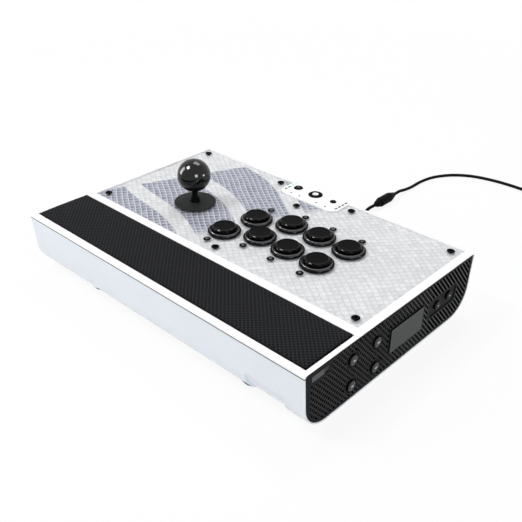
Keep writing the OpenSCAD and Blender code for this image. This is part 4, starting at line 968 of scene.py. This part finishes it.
class STICK_OT_function_keys(StickOperator):
    """Makes the three function buttons, the status lights and their small marks."""
    bl_idname = "stick.function_keys"
    bl_label = "Function buttons"

    def make(self, context):
        thick = 3.1
        for name, r in (("left", 4.9), ("centre", 7.7), ("right", 3.4)):
            node = "function_button_" + name
            x, y, _ = middle(node)
            foot, top = (height - COVER_Z / MM for height in heights(node))
            under = top - thick
            points = [(0, top - 0.15), (r - 1.0, top, 0.4), (r, top - 0.5, 0.3),
                      (r, under, 0.1), (3.2, under), (3.2, foot + 0.8),
                      (4.2, foot + 0.8, 0.1), (4.2, foot, 0.1), (0, foot)]
            parts = [turned(points, (x, y, COVER_Z), 56)]
            if name != "right":
                wide, index = (3.3, 1) if name == "centre" else (1.9, 2)
                parts.append(paint(turned(
                    [(0, top + 0.02), (wide, top + 0.02, 0.05), (wide + 0.2, top - 0.14)],
                    (x, y, COVER_Z), 48), index))
            placed(parts, "key_" + name, ["Button top", "Mark light", "Key plastic"],
                   node, node)
        low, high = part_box("status_lights")
        inset, step, half, depth = 0.45, 5.7, 0.85, 3.6
        under, over = COVER_Z / MM - 0.05, COVER_Z / MM + 0.05
        parts = []
        for x in (low[0] / MM + inset, high[0] / MM - inset):
            for k in range(4):
                y = low[1] / MM + step * k
                bar = block((x - half, y - 0.1, under), (x + half, y + depth, over), 0.02)
                parts.append(paint(bar, 1 if x < 0 and k > 1 else 0))
        placed(parts, "lights", ["Light off", "Light on"], "status_lights")
        dots = [(-25.1, 100.5), (-13.1, 100.4), (10.6, 100.5), (22.7, 100.2)]
        parts = [turned([(0, 0.04), (1.05, 0.04), (1.05, 0), (0, 0)],
                        (x * MM, y * MM, COVER_Z), 20) for x, y in dots]
        placed(parts, "tongue_marks", "Socket dark")


class STICK_OT_buttons(StickOperator):
    """Turns the eight button bodies and their plungers."""
    bl_idname = "stick.buttons"
    bl_label = "Buttons"

    def make(self, context):
        for k, (x, y) in enumerate(BUTTONS):
            body = turned(
                [(12.55, -7), (12.55, 2.9), (12.75, 3.05, 0.1), (14.2, 3.05, 0.5),
                 (15.0, 2.1, 0.5), (16.4, 1.7, 0.4), (16.7, 0.9, 0.4), (16.7, 0),
                 (14.7, 0), (14.7, -20, 0.3), (2.1, -20), (2.1, -18),
                 (12.55, -18), (12.55, -7)],
                (x, y, FACE_Z), 88,
            )
            # A thin ring on the flange's rounded rim is light grey: painted highlight
            self.ring(body, 1, (x, y), 2.4, 14.4, 14.8)
            placed(body, "button_body_%d" % (k + 1), ["Button gloss", "Button rim"],
                   "button_bodies")
            node = "plunger_%d" % (k + 1)
            cap = turned(
                [(0, 6.15), (8.5, 6.2, 3.0), (10.9, 6.42, 0.5), (12.0, 5.6, 0.7),
                 (12.3, 4.4, 0.8), (12.3, -8, 0.2), (11, -8), (11, 4.3), (1.6, 4.3),
                 (1.6, -16.9, 0.3), (0, -16.9)],
                (x, y, FACE_Z), 88,
            )
            self.ring(cap, 1, (x, y), 5.5, 0, 10.7)
            # The plunger's rounded edge carries a light ring too: painted highlight
            self.ring(cap, 2, (x, y), 5.5, 11, 11.35)
            placed(cap, "cap_%d" % (k + 1), ["Button gloss", "Button top", "Button rim"],
                   node, node)

    def ring(self, bm, index, centre, height, inner, outer):
        """Paints what lies above a height over the faceplate, between two radii, all in mm."""
        paint(bm, index, lambda c: c.z > FACE_Z + height * MM
              and inner * MM <= math.dist(c.xy, centre) < outer * MM)


class STICK_OT_lever(StickOperator):
    """Makes the ball top, the shaft, the sleeve and the dust washer."""
    bl_idname = "stick.lever"
    bl_label = "Lever"

    def make(self, context):
        x, y = STICK
        # The ball top's radius, and how far below its middle it is cut flat
        radius, flat = 0.0175, 0.01644
        bm = bmesh.new()
        bmesh.ops.create_uvsphere(bm, u_segments=96, v_segments=64, radius=radius)
        cut = bmesh.ops.bisect_plane(
            bm, geom=bm.verts[:] + bm.edges[:] + bm.faces[:], plane_co=(0, 0, -flat),
            plane_no=(0, 0, -1), clear_outer=True,
        )
        rim = [g for g in cut["geom_cut"] if isinstance(g, bmesh.types.BMEdge)]
        bmesh.ops.contextual_create(bm, geom=rim)
        bmesh.ops.translate(bm, vec=(x, y, BALL_Z), verts=bm.verts)
        placed(bm, "ball", "Ball gloss", "ball_top", "lever_top")
        foot, top = heights("lever_shaft")
        bm = turned(
            [(0, foot), (2.6, foot, 0.3), (3, foot + 0.5, 0.1), (3, top - 0.4, 0.1),
             (2.7, top), (0, top)], (x, y, 0), 48,
        )
        placed(bm, "shaft", "Black satin", "lever_shaft", "lever_top")
        foot, top = heights("lever_sleeve")
        # The pivot ball, in mm, as far round as it stands out of the tube
        ball_r, ball_z, reach, steps = 7, 48, 46, 16
        points = [(3.05, foot), (4.6, foot, 0.2), (4.6, 42.7, 0.3)]
        for j in range(steps + 1):
            a = math.radians(reach * (2 * j / steps - 1))
            points.append((ball_r * math.cos(a), ball_z + ball_r * math.sin(a)))
        points += [(4.6, 53.3, 0.3), (4.6, top, 0.5), (3.05, top), (3.05, foot)]
        placed(turned(points, (x, y, 0), 56), "sleeve", "Black satin",
               "lever_sleeve", "lever")
        foot, top = heights("dust_washer")
        hole, rim = 5.2, 22
        points = [(hole, foot), (rim, foot, 0.4), (rim, top, 0.6), (hole, top, 0.4), (hole, foot)]
        placed(turned(points, (x, y, 0), 96), "washer_disc", "Washer skin",
               "dust_washer", "washer_cover")


class STICK_OT_side_controls(StickOperator):
    """Makes the display window, the round side buttons and the mode switch."""
    bl_idname = "stick.side_controls"
    bl_label = "Side controls"
    screen_front = 0.185
    screen_rise = 0.0011

    def make(self, context):
        bm = merged("display_window")
        for v in bm.verts:
            if v.co.x > self.screen_front:
                v.co.x = PANEL_X + self.screen_rise
        paint(bm, 1, lambda c: c.x < PANEL_X + self.screen_rise - SLACK)
        placed(bm, "screen", ["Screen", "Socket dark"], "display_window", bevel=0.0003)
        for k in range(1, 5):
            self.key("side_button_%d" % k, 5.4, "Key plastic", "key_grey", 1.5)
        for k in range(1, 3):
            self.key("pocket_button_%d" % k, 4.6, "Panel rib", "black_matte", 0.8)
        placed(merged("mode_slider"), "mode_cap", "Switch cap", "mode_slider",
               "mode_slider", bevel=0.00015)

    def key(self, node, r, material, slot, mark):
        low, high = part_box(node)
        _, y, z = middle(node)
        deep = (low[0] - high[0]) / MM
        points = [(0, 2), (r - 2.2, 1.85, 2), (r - 0.6, 1.3, 0.4), (r, 0.6, 0.3),
                  (r, -2.7), (r + 0.9, -2.7, 0.1), (r + 0.9, -3.6, 0.1), (2, -3.6),
                  (2, deep, 0.2), (0, deep)]
        cap = turned(points, (high[0], y, z), 48, "X")
        paint(cap, 2, lambda c: math.dist((c.y, c.z), (y, z)) > (r - 0.8) * MM)
        x, y, z = high[0] / MM, y / MM, z / MM
        bar = block((x + 1.5, y - mark, z - 0.4), (x + 2.03, y + mark, z + 0.4), 0.01)
        placed([cap, paint(bar, 1)], "cap_" + node, [material, "Mark light", "Black screw"],
               node, node)


class STICK_OT_inner_parts(StickOperator):
    """Gives the pieces inside the case their finishes."""
    bl_idname = "stick.inner_parts"
    bl_label = "Inner parts"

    finishes = {
        "Bare steel": "control_plate stick_bracket",
        "Bright steel": "stick_nuts lever_spring",
        "Inner plastic": "button_nuts button_switches stick_housing lever_switches actuator "
                         "display_module",
        "Pale plastic": "restrictor_gate pivot_bush",
        "Black screw": "shaft_clip case_screws",
        "Washer skin": "lower_washer",
        "Circuit board": "function_board side_board main_board",
    }

    def make(self, context):
        for material, nodes in self.finishes.items():
            for node in nodes.split():
                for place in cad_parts[node].material_slots:
                    place.material = bpy.data.materials[material]


class STICK_OT_studio(StickOperator):
    """Builds the pale floor, the soft lamps and the world."""
    bl_idname = "stick.studio"
    bl_label = "Studio"

    def make(self, context):
        bm = bmesh.new()
        bmesh.ops.create_grid(bm, x_segments=2, y_segments=2, size=4.0)
        mesh = bpy.data.meshes.new("floor")
        bm.to_mesh(mesh)
        bm.free()
        floor = added("floor", mesh)
        made = bpy.data.materials.new("Studio floor")
        made.use_nodes = True
        tree = Tree(made.node_tree)
        nodes = made.node_tree.nodes
        nodes.remove(nodes["Principled BSDF"])
        seen = tree.node("LightPath").outputs
        camera = tree.calc("MAXIMUM", seen["Is Camera Ray"], seen["Is Glossy Ray"])
        matte = tree.value("BsdfDiffuse", Color=(0.94, 0.94, 0.94, 1))
        white = tree.value("Emission", Color=(1, 1, 1, 1), Strength=1.0)
        # Near the object the floor keeps its shadow; further out it turns to the plain white
        place = tree.node("TexCoord").outputs["Object"]
        glow = tree.ramp(tree.vector("LENGTH", place), 0.3, 1.5, 0.88, 1.0)
        mix = tree.node("MixShader")
        tree.feed_all(mix.inputs, (camera * glow, matte, white))
        tree.feed(nodes["Material Output"].inputs["Surface"], mix.outputs[0])
        mesh.materials.append(made)
        for name, place, size, power in (
            ("Front left lamp", (-0.75, -0.76, 1.5), 0.26, 9.0),
            ("Rear top lamp", (-0.3, 0.8, 1.5), 0.32, 6.0),
            ("Left lamp", (-1.7, -1.0, 0.45), 0.3, 3.0),
            ("Right lamp", (1.5, -0.7, 0.7), 0.24, 3.5),
        ):
            self.lamp(name, place, size, size, power).visible_glossy = False
        # Bright cards that only glossy surfaces see
        for name, way, wide, tall, glow in (
            ("Overhead card", (-0.34, -0.40, 0.85), 0.5, 0.42, 50.0),
            ("Rear card", (-0.16, 0.44, 0.88), 0.8, 0.6, 8.0),
            ("Left card", (-0.80, -0.48, 0.36), 0.55, 1.0, 14.0),
            ("Right card", (0.83, -0.40, 0.36), 0.5, 0.5, 20.0),
            ("Far card", (0.84, 0.50, 0.16), 0.4, 0.3, 18.0),
        ):
            power = glow * math.pi * wide * tall
            self.lamp(name, Vector(way) * 1.6, wide, tall, power).visible_diffuse = False
        world = bpy.data.worlds.new("Studio world")
        context.scene.world = world
        world.use_nodes = True
        tree = Tree(world.node_tree)
        seen = tree.node("LightPath").outputs
        bent = tree.calc("MAXIMUM", seen["Is Glossy Ray"], seen["Is Transmission Ray"])
        direct = tree.calc("MAXIMUM", seen["Is Camera Ray"], bent)
        back = world.node_tree.nodes["Background"]
        tree.feed(back.inputs["Strength"], tree.ramp(direct, 0.0, 1.0, 0.6, 1.0))
        back.inputs["Color"].default_value = (1, 1, 1, 1)
        context.scene.view_settings.view_transform = "Standard"

    def lamp(self, name, place, wide, tall, power):
        data = bpy.data.lights.new(name, "AREA")
        data.shape = "RECTANGLE"
        data.size, data.size_y = wide, tall
        data.energy = power
        lamp = added(name, data)
        lamp.location = place
        aim = Vector((0.0, 0.0, 0.05)) - Vector(place)
        lamp.rotation_euler = aim.to_track_quat("-Z", "Y").to_euler()
        lamp.visible_camera = False
        return lamp


OPERATORS = StickOperator.__subclasses__()


class STICK_PT_panel(bpy.types.Panel):
    """Lists the sizes, the colours and the operators."""
    bl_label = "Fight Stick"
    bl_idname = "STICK_PT_panel"
    bl_space_type = "VIEW_3D"
    bl_region_type = "UI"
    bl_category = "Fight Stick"

    def draw(self, context):
        for name, group in GROUPS.items():
            box = self.layout.box()
            for key in group.__annotations__:
                box.prop(getattr(context.scene, name), key)
        for each in OPERATORS:
            self.layout.operator(each.bl_idname)


GROUPS = {"stick_sizes": StickSizes, "stick_colours": StickColours, "stick_view": StickView}
CLASSES = (*GROUPS.values(), *OPERATORS, STICK_PT_panel)


def register():
    for each in CLASSES:
        bpy.utils.register_class(each)
    for name, group in GROUPS.items():
        setattr(bpy.types.Scene, name, bpy.props.PointerProperty(type=group))


def unregister():
    for name in GROUPS:
        delattr(bpy.types.Scene, name)
    for each in reversed(CLASSES):
        bpy.utils.unregister_class(each)


def main():
    register()
    for each in OPERATORS:
        getattr(bpy.ops.stick, each.bl_idname.split(".")[1])()
    bpy.context.view_layer.update()


if __name__ == "__main__":
    main()
